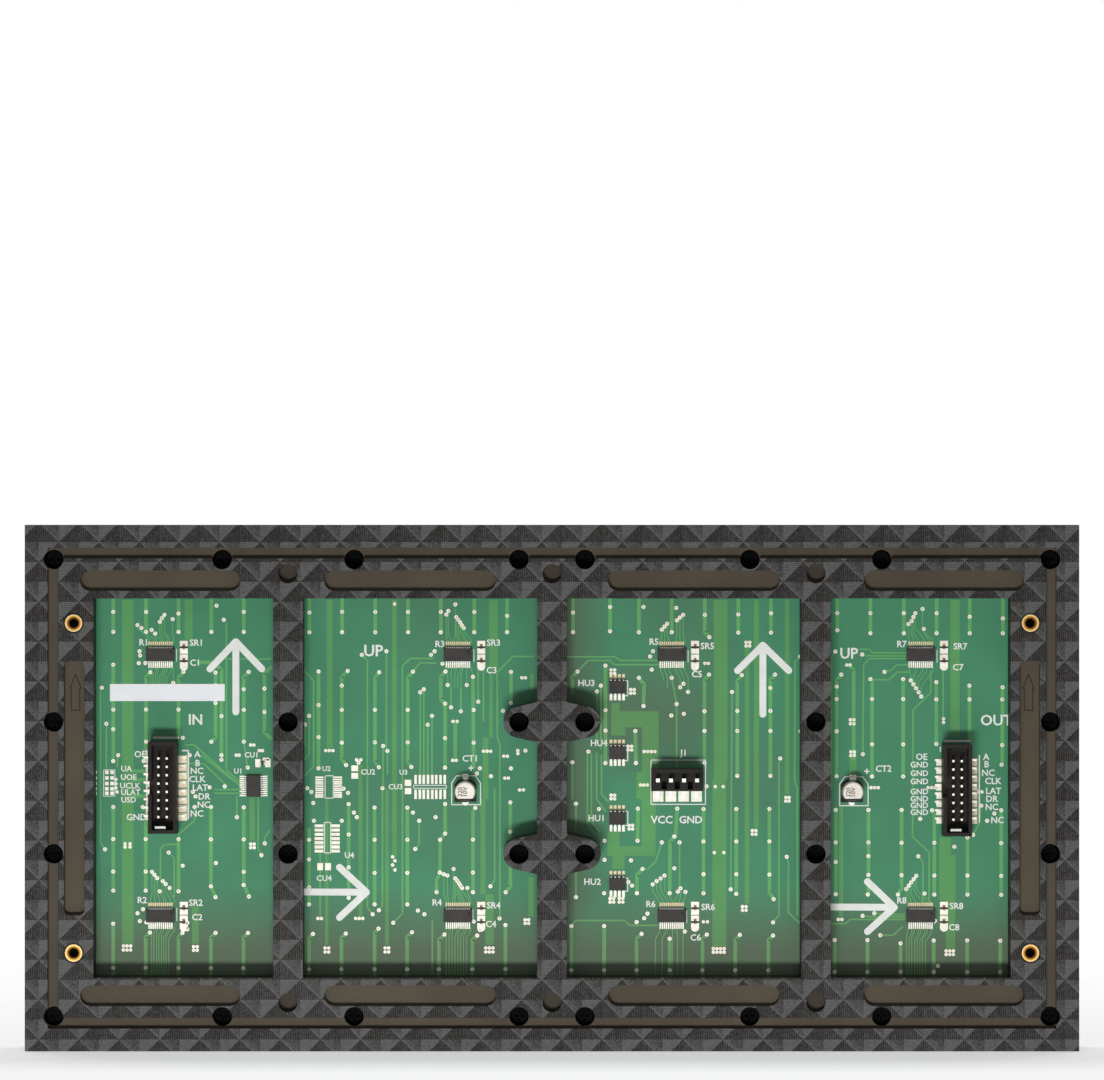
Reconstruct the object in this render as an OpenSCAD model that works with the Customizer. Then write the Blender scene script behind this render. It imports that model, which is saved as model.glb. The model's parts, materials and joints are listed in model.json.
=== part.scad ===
// LED display module: a 32 by 16 grid of white LEDs on one circuit board, held between a louvred
// face mask and a windowed rear frame. The module stands on its lower long edge: +Z is up, the LEDs
// face -Y, the wiring side faces +Y, and the origin is under the middle of the box.

/* [Display grid] */
// Distance between neighbouring LEDs
pitch = 10; // [9:0.5:12]
// Play left between two tiled modules
tile_gap = 0.4; // [0.2:0.1:1]

/* [Face mask] */
// Thickness of the mask plate
plate_t = 2.6; // [2.4:0.1:4]
// How far the visors stand out of the plate
visor_out = 3.4; // [2.5:0.1:5]
// Height of a visor's underside above the middle of its LEDs
visor_rise = 3; // [2.8:0.1:3.2]
// Height of a visor's front lip
visor_lip = 0.9; // [0.6:0.1:1.2]
// Height of a visor where its top runs out on the plate, above its underside at the lip
visor_foot = 3.1; // [2.6:0.1:3.4]
// Drop of a visor's underside from its lip to the plate
visor_draft = 0.7; // [0.2:0.1:0.9]
// Hollow of a visor's curved top, across its slope
visor_sag = 0.5; // [0.2:0.1:0.8]
// Width of an LED window
window_w = 4.3; // [4:0.1:4.6]
// Height of an LED window
window_h = 3.6; // [3.2:0.1:3.8]
// Wall of the skirt round the board
skirt_t = 1.2; // [0.8:0.1:2]
// Diameter of the screw posts behind the plate
post_d = 5; // [4.4:0.1:5.4]
// How far a post reaches through the board into the frame
post_spigot = 1.6; // [1:0.1:2]

/* [LEDs] */
// Width of an LED package
led_w = 3.5; // [3.2:0.1:3.7]
// Height of an LED package
led_h = 2.8; // [2.5:0.1:3]
// Thickness of an LED package
led_t = 0.75; // [0.6:0.05:1]
// Width of its lens
lens_w = 2.45; // [2:0.05:2.8]
// Height of its lens
lens_h = 1.75; // [1.4:0.05:2]
// How far the lens lies below the rim
lens_depth = 0.12; // [0.05:0.01:0.3]

/* [Circuit board] */
// Thickness of the board
board_t = 1.6; // [1:0.1:2.4]
// Clearance between the board and the skirt
board_gap = 0.2; // [0.1:0.05:0.4]
// Clearance between a post and its hole in the board
post_gap = 0.2; // [0.1:0.05:0.3]

/* [Rear frame] */
// Depth of the frame behind the board
frame_depth = 10.2; // [10:0.1:14]
// Thickness left behind the hollow side of the frame
back_t = 4.2; // [3.6:0.1:5]
// Thickness of the frame's walls
wall_t = 1.8; // [1.4:0.1:2.2]
// Width of the three upright bars
bar_w = 9; // [8:0.5:11]
// Width of the frame at its left and right ends
border_w = 20.8; // [20:0.1:22]
// Height of the frame at its top and bottom
border_h = 22.3; // [21.5:0.1:24]
// Width of the seal groove
groove_w = 3.2; // [2:0.1:4]
// Depth of the seal groove
groove_depth = 2.2; // [1:0.1:2.8]
// Distance from the frame's edge to the middle of the groove
groove_inset = 8.55; // [7.5:0.05:9]
// Width of the recessed slots
slot_w = 6.2; // [5:0.1:6.4]
// Depth of the recessed slots
slot_depth = 2.2; // [1:0.1:2.8]
// Wall between a long slot and a window
slot_wall = 2.3; // [2:0.1:3]
// From a screw well to the near end of a long slot
slot_land = 7; // [5:0.5:9]
// From the middle of a bar to the end of an inner slot
slot_before_bar = 11; // [8:0.5:14]
// From the middle of a bar to the start of an outer slot
slot_after_bar = 14.5; // [10:0.5:18]
// From an insert to the near end of a side slot
side_slot_land = 11.5; // [8:0.5:16]
// From the tile's left or right edge to the middle of a side slot
side_slot_in = 15.2; // [15:0.1:15.6]
// Rounding of a side slot's corners
side_slot_r = 1.7; // [0.8:0.1:2.2]
// Radius of the ears on the middle bar
ear_r = 4.75; // [4.5:0.05:5.2]
// Radius of the boss between two ears
ear_root_r = 7; // [6:0.1:8]
// Diameter of the locating holes
locator_d = 5.8; // [4:0.1:7]
// Depth of the locating holes
locator_depth = 3; // [2:0.1:3.2]

/* [Fasteners] */
// Diameter of the screw wells
well_d = 5.9; // [5.6:0.1:6]
// Floor of a screw well, from its seat to the board
well_floor = 3.4; // [3:0.1:4.4]
// From the tile's top or bottom edge to the outer rows of wells
well_in_z = 10.7; // [10.5:0.1:10.9]
// From the tile's left or right edge to the side columns of wells
well_in_x = 8.9; // [8.5:0.1:9]
// Wall round a screw well or an insert
boss_wall = 1.5; // [1.2:0.1:2]
// Diameter of a screw's shank
screw_d = 2.5; // [2:0.1:3]
// Diameter of a screw's head
screw_head_d = 5.2; // [4.4:0.1:5.4]
// Height of a screw's head
screw_head_h = 2; // [1.5:0.1:2.6]
// Clearance round a shank in the frame
shank_gap = 0.3; // [0.1:0.05:0.4]
// Clearance round a shank in its post
thread_gap = 0.05; // [0.02:0.01:0.1]
// Outer diameter of an insert
insert_d = 5.2; // [4.6:0.1:5.6]
// Length of an insert
insert_len = 6; // [5:0.5:8]
// Bore of an insert, for an M3 screw
insert_bore = 2.6; // [2.5:0.05:3.2]
// Clearance round an insert
insert_gap = 0.1; // [0.05:0.01:0.2]
// From the tile's left or right edge to an insert
insert_in_x = 15; // [14:0.5:16]
// From the tile's top or bottom edge to an insert
insert_in_z = 30; // [26:0.5:36]

/* [Ribbon headers] */
// Distance between pins
pin_pitch = 2.54; // [2.5:0.01:2.6]
// Width of a pin
pin_w = 0.64; // [0.5:0.01:0.8]
// Length of a shroud
shroud_l = 27.8; // [27:0.1:30]
// Width of a shroud
shroud_w = 8.7; // [8:0.1:9.4]
// Height of a shroud
shroud_h = 8.8; // [7:0.1:9.2]
// Wall of a shroud
shroud_wall = 1.05; // [0.8:0.05:1.3]
// Floor of a shroud
shroud_floor = 2.4; // [1.5:0.1:3]
// Width of the key notch in a shroud's wall
key_w = 4.2; // [3.5:0.1:5]
// How far a pin stands above the floor
pin_up = 5.2; // [3:0.1:5.6]
// Thickness of a pin's foot
foot_t = 0.4; // [0.3:0.05:0.6]
// Spread of the feet from tip to tip
feet_span = 12.6; // [11:0.1:14]

/* [Power socket] */
// Distance between power pins
power_pitch = 3.96; // [3.9:0.01:4]
// Length of the base
power_l = 15.8; // [15.4:0.1:17]
// Depth of the base
power_w = 6.9; // [6:0.1:8]
// Height of the base
power_base_h = 2.8; // [2:0.1:4]
// Length of the lock wall
power_lock_l = 12.9; // [10:0.1:15]
// Thickness of the lock wall
power_lock_t = 1.15; // [0.8:0.05:1.6]
// Height of the lock wall
power_lock_h = 8; // [5:0.1:9]
// Width of a power pin
power_pin_w = 1.14; // [0.8:0.02:1.4]
// Height of a power pin above the board
power_pin_h = 7.4; // [5:0.1:9]
// Reach of a power pin's foot past the base
power_foot_l = 2; // [1:0.1:3]
// Width of the recesses between the power pins
power_notch_w = 1.6; // [1:0.1:2]
// Length of those recesses
power_notch_l = 2.3; // [1.5:0.1:2.6]
// Depth of those recesses
power_notch_h = 1.6; // [0.8:0.1:1.9]

/* [Integrated circuits] */
// Length of a driver package
driver_l = 8.65; // [8.2:0.05:9]
// Width of a driver package
driver_w = 3.9; // [3.5:0.05:4.4]
// Height of a driver package
driver_h = 1.5; // [1.2:0.05:1.8]
// Distance between a driver's leads
driver_pitch = 0.635; // [0.6:0.005:0.66]
// Length of a row-switch package
switch_l = 4.9; // [4.6:0.05:5.2]
// Width of a row-switch package
switch_w = 3.9; // [3.5:0.05:4.4]
// Distance between a row switch's leads
switch_pitch = 1.27; // [1.2:0.01:1.3]
// Length of the buffer package
buffer_l = 6.5; // [6.2:0.05:7]
// Width of the buffer package
buffer_w = 4.4; // [4:0.05:4.6]
// Height of the buffer package
buffer_h = 1; // [0.8:0.05:1.2]
// Distance between the buffer's leads
buffer_pitch = 0.65; // [0.6:0.01:0.66]
// Spread of a package's leads past its body, on each side
lead_reach = 1.05; // [0.9:0.05:1.4]
// Length of a lead's foot
lead_foot = 0.5; // [0.4:0.05:0.6]
// Thickness of a lead
lead_t = 0.2; // [0.12:0.01:0.25]
// Gap between a package and the board
standoff = 0.1; // [0.05:0.01:0.2]
// Slope of a package's sides, from its middle to its top
draft = 0.12; // [0.05:0.01:0.2]

/* [Capacitors] */
// Diameter of a can
can_d = 6.3; // [5:0.1:7]
// Height of a can above its base
can_h = 6.9; // [5:0.1:7.2]
// Rounding of a can's top edge
can_round = 0.5; // [0.2:0.05:0.8]
// Width of a capacitor's base
base_w = 6.6; // [6.4:0.1:7.6]
// Height of that base
base_h = 0.9; // [0.6:0.1:1.4]
// Chamfer of two of its corners
base_chamfer = 1.4; // [0.8:0.1:1.8]
// Reach of a terminal past the base
terminal_l = 0.7; // [0.4:0.1:1]
// Width of a terminal
terminal_w = 0.8; // [0.6:0.1:1.2]

/* [Small parts] */
// Length of a chip
chip_l = 1.6; // [1.5:0.05:1.8]
// Width of a chip
chip_w = 0.8; // [0.7:0.05:1]
// Height of a chip
chip_h = 0.45; // [0.35:0.05:0.6]
// Length of a chip's end cap
chip_cap = 0.35; // [0.2:0.05:0.4]
// Length of the paper label
label_l = 35; // [20:1:38]
// Height of the paper label
label_h = 5.2; // [3:0.1:7]
// Thickness of the paper label
label_t = 0.12; // [0.08:0.01:0.2]
// From the side of the frame's window to the label
label_inset = 4.2; // [2:0.1:6]

/* [Hidden] */
$fn = 48;

// Colours
frame_grey = "#4b4846";
mask_black = "#2b2b2d";
board_green = "#4a8a62";
led_white = "#f4f2ea";
screw_black = "#1c1c1c";
brass = "#b8964f";
plastic_black = "#2f2c29";
tin = "#d8d4c8";
package_grey = "#504a48";
can_silver = "#e4ddd0";
ceramic = "#8a7a66";
paper_white = "#eceee6";

// Grid of the display, in LEDs
cols = 32;
rows = 16;
tile_w = cols * pitch;
tile_low = -tile_gap / 2;
tile_high = tile_low + rows * pitch;
outer_w = tile_w - tile_gap;
edge_low = 0;
edge_high = tile_high - tile_gap / 2;
function led_x(col) = (col + 0.5) * pitch - tile_w / 2;
function led_z(row) = tile_low + (row + 0.5) * pitch;
function led_row_name(row) = str("led_row_", row < 10 ? "0" : "", row);

// Depths along Y, from the back to the tips of the visors
total_depth = frame_depth + board_t + plate_t + visor_out;
back_y = total_depth / 2;
board_back_y = back_y - frame_depth;
board_front_y = board_back_y - board_t;
plate_front_y = board_front_y - plate_t;
cut = 1;

// Screw wells, near the corners of LED cells
bar_x = cols / 4 * pitch;
well_side_x = tile_w / 2 - well_in_x;
well_outer_x = [pitch, 6 * pitch, 10 * pitch, well_side_x];
well_inner_x = [pitch, bar_x, well_side_x];
well_outer_z = [tile_low + well_in_z, tile_high - well_in_z];
well_inner_z = [tile_low + 6 * pitch, tile_low + 10 * pitch];
well_places = concat(
    [for (z = well_outer_z, x = well_outer_x, side = [-1, 1]) [side * x, z]],
    [for (z = well_inner_z, x = well_inner_x, side = [-1, 1]) [side * x, z]]);

// Windows, slots and holes of the frame
window_x = outer_w / 2 - border_w;
window_low = edge_low + border_h;
window_high = edge_high - border_h;
slot_in = border_h - slot_wall - slot_w / 2;
slot_rows = [edge_low + slot_in, edge_high - slot_in];
inner_slot = [pitch + slot_land, bar_x - slot_before_bar];
outer_slot = [bar_x + slot_after_bar, (cols / 2 - 1) * pitch - slot_land];
insert_x = tile_w / 2 - insert_in_x;
insert_rows = [tile_low + insert_in_z, tile_high - insert_in_z];
insert_places = [for (z = insert_rows, side = [-1, 1]) [side * insert_x, z]];
side_slot_x = tile_w / 2 - side_slot_in;
side_slot = [insert_rows[0] + side_slot_land, insert_rows[1] - side_slot_land];
locator_in = 1.5 * pitch;
locator_rows = [tile_low + locator_in, tile_high - locator_in];
locator_places = [for (z = locator_rows, x = [-bar_x, 0, bar_x]) [x, z]];
core_depth = frame_depth - back_t;
insert_foot_gap = 0.4;
insert_pocket = insert_len + insert_foot_gap;
insert_waist = 0.4;
insert_mouth = 0.4;

// Curved top of a visor: a cylinder through the lip's edge and the foot's edge
visor_drop = visor_foot - visor_lip;
visor_chord = norm([visor_drop, visor_out]);
visor_r = visor_chord * visor_chord / (8 * visor_sag) + visor_sag / 2;
visor_reach = (visor_r - visor_sag) / visor_chord;
visor_axis_z = visor_rise + visor_lip + visor_drop / 2 + visor_out * visor_reach;
visor_axis_out = visor_out / 2 + visor_drop * visor_reach;
visor_root = 0.5;

// Screws: from the seat in a well into a post, ending short of the mask plate
screw_tip_gap = 0.3;
screw_len = well_floor + board_t - screw_tip_gap;
post_end_gap = 0.1;
recess_w = 0.7;
recess_l = 3;
recess_h = 1;

// Places on the back of the board, in pitches: to the right of the middle as seen from behind,
// and up from the lower edge
input_place = [-11.82, 8];
output_place = [12.31, 7.92];
power_place = [3.81, 8.22];
driver_cols = [-11.94, -2.87, 3.65, 11.24];
driver_rows = [12.02, 4.06];
driver_places = [for (col = driver_cols, row = driver_rows) [col, row]];
switch_col = 1.99;
switch_rows = [11.03, 9.03, 7.03, 5.03];
buffer_place = [-9.1, 8.02];
can_places = [[-2.64, 7.87], [9.14, 7.86]];
label_row = 10.87;

// Chips beside a driver and the buffer, from the middle of the package
chip_gap = 2.8;
chip_beside = driver_l / 2 + chip_gap;
resistor_up = 2.3;
bypass_down = 1.9;
buffer_bypass = [2.7, 6.85];

// Leads
driver_leads_side = 12;
switch_leads_side = 4;
buffer_leads_side = 10;
lead_width_share = 0.4;
lead_shoulder = 0.3;
dimple_d = 0.8;
dimple_depth = 0.1;
dimple_in = 0.95;

// Headers and socket
header_pins = 8;
pin_hole_gap = 0.03;
slit_l = 3.2;
slit_w = 0.6;
slit_in = 0.9;
power_pins = 4;
power_notch_in = 0.6;

// Capacitors and chips
can_rim_t = 0.4;
can_rim_up = 1.1;
can_rim_in = 0.25;
terminal_t = 0.15;
terminal_in = 0.8;
chip_cap_lip = 0.03;

// Extrudes a front-view outline along Y, from y to y + depth
module slab(y, depth) {
    translate([0, y + depth, 0])
        rotate([90, 0, 0])
            linear_extrude(depth)
                children();
}

// Round bar or bore along Y
module rod_y(d, y_low, y_high) {
    translate([0, y_low, 0])
        rotate([-90, 0, 0])
            cylinder(d = d, h = y_high - y_low);
}

// Moves its children to a list of places in the front view
module at_places(places) {
    for (place = places)
        translate([place[0], 0, place[1]])
            children();
}

// Puts a part on the back of the board: its own X runs right as seen from behind, its own Y runs up
// and its own Z stands off the board
module on_back(place) {
    translate([-place[0] * pitch, board_back_y, tile_low + place[1] * pitch])
        rotate([90, 0, 180])
            children();
}

module rect_between(low, high) {
    translate(low)
        square(high - low);
}

module tile_plan(inset = 0) {
    rect_between([-outer_w / 2 + inset, edge_low + inset], [outer_w / 2 - inset, edge_high - inset]);
}

// The frame's four windows, grown on every side
module window_plan(grow = 0) {
    for (side = [0, 1])
        mirror([side, 0]) {
            rect_between([bar_w / 2 - grow, window_low - grow],
                         [bar_x - bar_w / 2 + grow, window_high + grow]);
            rect_between([bar_x + bar_w / 2 - grow, window_low - grow],
                         [window_x + grow, window_high + grow]);
        }
}

// A pair of ears on the middle bar: two round ends that run into a larger boss between them
module ear_plan(z) {
    lean = (ear_root_r - ear_r) / pitch;
    rise = sqrt(1 - lean * lean);
    root = ear_root_r * [lean, rise];
    tip = [pitch, 0] + ear_r * [lean, rise];
    translate([0, z]) {
        circle(r = ear_root_r);
        for (side = [0, 1])
            mirror([side, 0]) {
                translate([pitch, 0])
                    circle(r = ear_r);
                polygon([[0, 0], [root[0], -root[1]], [tip[0], -tip[1]], [pitch, 0], tip, root]);
            }
    }
}

module ears_plan() {
    for (z = well_inner_z)
        ear_plan(z);
}

module frame_plan() {
    difference() {
        tile_plan();
        window_plan();
    }
    ears_plan();
}

module boss_plan(places, d) {
    for (place = places)
        translate(place)
            circle(d = d + 2 * boss_wall);
}

// The hollow in the frame's board side: everything but the walls, the ears and the bosses
module core_plan() {
    difference() {
        tile_plan(wall_t);
        window_plan(wall_t);
        ears_plan();
        boss_plan(well_places, well_d);
        boss_plan(insert_places, insert_d);
    }
}

module groove_plan() {
    difference() {
        tile_plan(groove_inset - groove_w / 2);
        tile_plan(groove_inset + groove_w / 2);
    }
}

// A slot with round ends between two points
module slot_plan(a, b, w) {
    along = (b - a) / norm(b - a);
    across = [-along[1], along[0]] * w / 2;
    start = a + along * w / 2;
    end = b - along * w / 2;
    polygon([start - across, end - across, end + across, start + across]);
    translate(start)
        circle(d = w);
    translate(end)
        circle(d = w);
}

// A rectangle with round corners between two points
module rounded_plan(low, high, r) {
    rect_between(low + [r, 0], high - [r, 0]);
    rect_between(low + [0, r], high - [0, r]);
    for (x = [low[0] + r, high[0] - r], z = [low[1] + r, high[1] - r])
        translate([x, z])
            circle(r = r);
}

module slots_plan() {
    for (side = [-1, 1]) {
        for (z = slot_rows, slot = [inner_slot, outer_slot])
            slot_plan([side * slot[0], z], [side * slot[1], z], slot_w);
        rounded_plan([side * side_slot_x - slot_w / 2, side_slot[0]],
                     [side * side_slot_x + slot_w / 2, side_slot[1]], side_slot_r);
    }
}

module rear_frame() {
    color(frame_grey)
        difference() {
            slab(board_back_y, frame_depth)
                frame_plan();
            slab(board_back_y - cut, core_depth + cut)
                core_plan();
            slab(back_y - groove_depth, groove_depth + cut)
                groove_plan();
            slab(back_y - slot_depth, slot_depth + cut)
                slots_plan();
            at_places(locator_places)
                rod_y(locator_d, back_y - locator_depth, back_y + cut);
            at_places(insert_places)
                rod_y(insert_d + 2 * insert_gap, back_y - insert_pocket, back_y + cut);
            at_places(well_places) {
                rod_y(well_d, board_back_y + well_floor, back_y + cut);
                rod_y(screw_d + 2 * shank_gap, board_back_y - cut, back_y);
                rod_y(post_d + 2 * post_gap, board_back_y - cut, board_back_y + post_spigot + post_end_gap);
            }
        }
}

// Plate of the mask with one window for each LED
module plate_plan() {
    difference() {
        tile_plan();
        for (row = [0 : rows - 1], col = [0 : cols - 1])
            translate([led_x(col), led_z(row)])
                square([window_w, window_h], center = true);
    }
}

module skirt_plan() {
    difference() {
        tile_plan();
        tile_plan(skirt_t);
    }
}

// Hollow posts that take the screws
module post_plan() {
    for (place = well_places)
        translate(place)
            difference() {
                circle(d = post_d);
                circle(d = screw_d + 2 * thread_gap);
            }
}

// Section of a visor: drafted underside, upright lip and a hollow top that runs into the plate. Its
// own X runs up from the middle of the LEDs and its own Y runs out from the plate.
module visor_section() {
    foot = visor_rise + visor_foot + visor_root / 2;
    under = visor_rise - visor_draft;
    difference() {
        polygon([[under, -visor_root], [foot, -visor_root], [foot, visor_out],
                 [visor_rise, visor_out], [under, 0]]);
        translate([visor_axis_z, visor_axis_out])
            circle(r = visor_r);
    }
}

// One visor above each row of LEDs, and the foot of one more along the lower edge
module visor_rows() {
    for (row = [-1 : rows - 1])
        translate([-outer_w / 2, plate_front_y, led_z(row)])
            rotate([180, -90, 0])
                linear_extrude(outer_w)
                    intersection() {
                        visor_section();
                        rect_between([edge_low - led_z(row), -visor_root],
                                     [edge_high - led_z(row), visor_out]);
                    }
}

module face_mask() {
    color(mask_black) {
        slab(plate_front_y, plate_t)
            plate_plan();
        slab(board_front_y, board_t)
            skirt_plan();
        slab(board_front_y, board_t + post_spigot)
            post_plan();
        visor_rows();
    }
}

module circuit_board() {
    color(board_green)
        slab(board_front_y, board_t)
            difference() {
                tile_plan(skirt_t + board_gap);
                for (place = well_places)
                    translate(place)
                        circle(d = post_d + 2 * post_gap);
            }
}

// White package with a sunk lens, standing off the front of the board
module led_package() {
    rotate([90, 0, 0])
        difference() {
            translate([-led_w / 2, -led_h / 2, 0])
                cube([led_w, led_h, led_t]);
            translate([-lens_w / 2, -lens_h / 2, led_t - lens_depth])
                cube([lens_w, lens_h, lens_depth + cut]);
        }
}

// Rows are counted from the top, as the display is read
module led_row(row) {
    color(led_white)
        for (col = [0 : cols - 1])
            translate([led_x(col), board_front_y, led_z(rows - row)])
                led_package();
}

// Pan head with a cross recess, head towards +Y
module frame_screw() {
    seat = board_back_y + well_floor;
    difference() {
        union() {
            rod_y(screw_d, seat - screw_len, seat);
            rod_y(screw_head_d, seat, seat + screw_head_h);
        }
        for (turn = [0, 90])
            rotate([0, turn, 0])
                translate([-recess_l / 2, seat + screw_head_h - recess_h, -recess_w / 2])
                    cube([recess_l, recess_h + cut, recess_w]);
    }
}

module frame_screws() {
    color(screw_black)
        at_places(well_places)
            frame_screw();
}

// Threaded insert with a waist between its two knurled bands and a countersunk mouth
module brass_insert() {
    r = insert_d / 2;
    bore_r = insert_bore / 2;
    waist_r = r - insert_waist;
    band = insert_len / 3;
    translate([0, back_y - insert_len, 0])
        rotate([-90, 0, 0])
            rotate_extrude()
                polygon([[bore_r, 0], [r, 0], [r, band], [waist_r, band], [waist_r, 2 * band],
                         [r, 2 * band], [r, insert_len], [bore_r + insert_mouth, insert_len],
                         [bore_r, insert_len - insert_mouth]]);
}

module brass_inserts() {
    color(brass)
        at_places(insert_places)
            brass_insert();
}

function pin_x(side) = side * pin_pitch / 2;
function pin_z(index) = (index - (header_pins - 1) / 2) * pin_pitch;

// Open box round the pins, with a key notch in its left wall and a slit in its floor
module header_shroud() {
    inner = [shroud_w - 2 * shroud_wall, shroud_l - 2 * shroud_wall];
    hole = pin_w + 2 * pin_hole_gap;
    translate([0, 0, foot_t])
        difference() {
            translate([-shroud_w / 2, -shroud_l / 2, 0])
                cube([shroud_w, shroud_l, shroud_h]);
            translate([-inner[0] / 2, -inner[1] / 2, shroud_floor])
                cube([inner[0], inner[1], shroud_h]);
            translate([-shroud_w, -key_w / 2, shroud_floor])
                cube([shroud_w, key_w, shroud_h]);
            translate([-slit_l / 2, -inner[1] / 2 + slit_in, -cut])
                cube([slit_l, slit_w, shroud_h]);
            for (side = [-1, 1], index = [0 : header_pins - 1])
                translate([pin_x(side) - hole / 2, pin_z(index) - hole / 2, -cut])
                    cube([hole, hole, shroud_h]);
        }
}

// Upright pin whose foot runs out under the shroud to its pad
module header_pin(side) {
    reach = feet_span / 2 - pin_pitch / 2 + pin_w / 2;
    translate([-pin_w / 2, -pin_w / 2, 0])
        cube([pin_w, pin_w, foot_t + shroud_floor + pin_up]);
    mirror([side > 0 ? 0 : 1, 0, 0])
        translate([-pin_w / 2, -pin_w / 2, 0])
            cube([reach, pin_w, foot_t]);
}

module header_pin_rows() {
    for (side = [-1, 1], index = [0 : header_pins - 1])
        translate([pin_x(side), pin_z(index), 0])
            header_pin(side);
}

module input_header_shroud() {
    color(plastic_black)
        on_back(input_place)
            header_shroud();
}

module input_header_pins() {
    color(brass)
        on_back(input_place)
            header_pin_rows();
}

module output_header_shroud() {
    color(plastic_black)
        on_back(output_place)
            header_shroud();
}

module output_header_pins() {
    color(brass)
        on_back(output_place)
            header_pin_rows();
}

function power_x(index) = (index - (power_pins - 1) / 2) * power_pitch;

// Low base with a tall lock wall along its upper side and recesses between the pins
module power_socket_housing() {
    hole = power_pin_w + 2 * pin_hole_gap;
    color(plastic_black)
        on_back(power_place)
            translate([0, 0, foot_t])
                difference() {
                    union() {
                        translate([-power_l / 2, -power_w / 2, 0])
                            cube([power_l, power_w, power_base_h]);
                        translate([-power_lock_l / 2, power_w / 2 - power_lock_t, 0])
                            cube([power_lock_l, power_lock_t, power_lock_h]);
                    }
                    for (index = [0 : power_pins - 1])
                        translate([power_x(index) - hole / 2, -hole / 2, -cut])
                            cube([hole, hole, power_base_h + 2 * cut]);
                    for (index = [0 : power_pins - 2])
                        translate([power_x(index + 0.5) - power_notch_w / 2,
                                   -power_w / 2 + power_notch_in, power_base_h - power_notch_h])
                            cube([power_notch_w, power_notch_l, power_notch_h + cut]);
                }
}

module power_socket_pins() {
    reach = power_w / 2 + power_foot_l;
    color(tin)
        on_back(power_place)
            for (index = [0 : power_pins - 1])
                translate([power_x(index) - power_pin_w / 2, 0, 0]) {
                    translate([0, -power_pin_w / 2, 0])
                        cube([power_pin_w, power_pin_w, power_pin_h]);
                    translate([0, -reach, 0])
                        cube([power_pin_w, reach, foot_t]);
                }
}

// Moulded package, drafted from a flat band at the level of its leads, with a first-pin dimple in
// its upper (1) or lower (-1) corner
module ic_package(l, w, h, dimple_side) {
    level = h / 2;
    band = lead_t / 2;
    narrow = w / 2 - draft;
    translate([0, 0, standoff])
        difference() {
            translate([-l / 2, 0, 0])
                rotate([90, 0, 90])
                    linear_extrude(l)
                        polygon([[-narrow, 0], [narrow, 0],
                                 [w / 2, level - band], [w / 2, level + band],
                                 [narrow, h], [-narrow, h],
                                 [-w / 2, level + band], [-w / 2, level - band]]);
            translate([l / 2 - dimple_in, dimple_side * (w / 2 - dimple_in), h - dimple_depth])
                cylinder(d = dimple_d, h = cut);
        }
}

// Gull-wing leads on both long sides of a package
module ic_leads(w, h, count, spacing) {
    lead_w = spacing * lead_width_share;
    mid = standoff + h / 2;
    heel = lead_reach - lead_foot;
    for (side = [0, 1], index = [0 : count - 1])
        mirror([0, side])
            translate([(index - (count - 1) / 2) * spacing - lead_w / 2, w / 2, 0])
                rotate([90, 0, 90])
                    linear_extrude(lead_w)
                        polygon([[0, mid - lead_t / 2], [lead_shoulder - lead_t / 2, mid - lead_t / 2],
                                 [heel - lead_t / 2, 0], [lead_reach, 0],
                                 [lead_reach, lead_t], [heel + lead_t / 2, lead_t],
                                 [lead_shoulder + lead_t / 2, mid + lead_t / 2], [0, mid + lead_t / 2]]);
}

module driver_circuit(place) {
    color(package_grey)
        on_back(place)
            ic_package(driver_l, driver_w, driver_h, 1);
}

module driver_leads() {
    color(tin)
        for (place = driver_places)
            on_back(place)
                ic_leads(driver_w, driver_h, driver_leads_side, driver_pitch);
}

module row_switch(row) {
    color(package_grey)
        on_back([switch_col, row])
            ic_package(switch_l, switch_w, driver_h, -1);
}

module row_switch_leads() {
    color(tin)
        for (row = switch_rows)
            on_back([switch_col, row])
                ic_leads(switch_w, driver_h, switch_leads_side, switch_pitch);
}

module buffer_circuit() {
    color(package_grey)
        on_back(buffer_place)
            rotate(90)
                ic_package(buffer_l, buffer_w, buffer_h, 1);
}

module buffer_leads() {
    color(tin)
        on_back(buffer_place)
            rotate(90)
                ic_leads(buffer_w, buffer_h, buffer_leads_side, buffer_pitch);
}

// Aluminium can with a rolled waist above its base and a rounded top edge
module capacitor_can(place) {
    r = can_d / 2;
    color(can_silver)
        on_back(place)
            translate([0, 0, base_h])
                rotate_extrude() {
                    difference() {
                        union() {
                            square([r, can_h - can_round]);
                            square([r - can_round, can_h]);
                            translate([r - can_round, can_h - can_round])
                                circle(r = can_round);
                        }
                        translate([r - can_rim_in, can_rim_up])
                            square([r, can_rim_t]);
                    }
                }
}

module capacitor_base(place) {
    half = base_w / 2;
    open = half - base_chamfer;
    color(plastic_black)
        on_back(place)
            difference() {
                linear_extrude(base_h)
                    polygon([[-half, -half], [half, -half], [half, open], [open, half], [-open, half],
                             [-half, open]]);
                for (side = [-1, 1])
                    translate([-terminal_w / 2, side > 0 ? half - terminal_in : -half - cut, -cut])
                        cube([terminal_w, terminal_in + cut, terminal_t + cut]);
            }
}

module capacitor_terminals() {
    half = base_w / 2;
    color(tin)
        for (place = can_places)
            on_back(place)
                for (side = [-1, 1])
                    translate([-terminal_w / 2, side > 0 ? half - terminal_in : -half - terminal_l, 0])
                        cube([terminal_w, terminal_in + terminal_l, terminal_t]);
}

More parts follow.
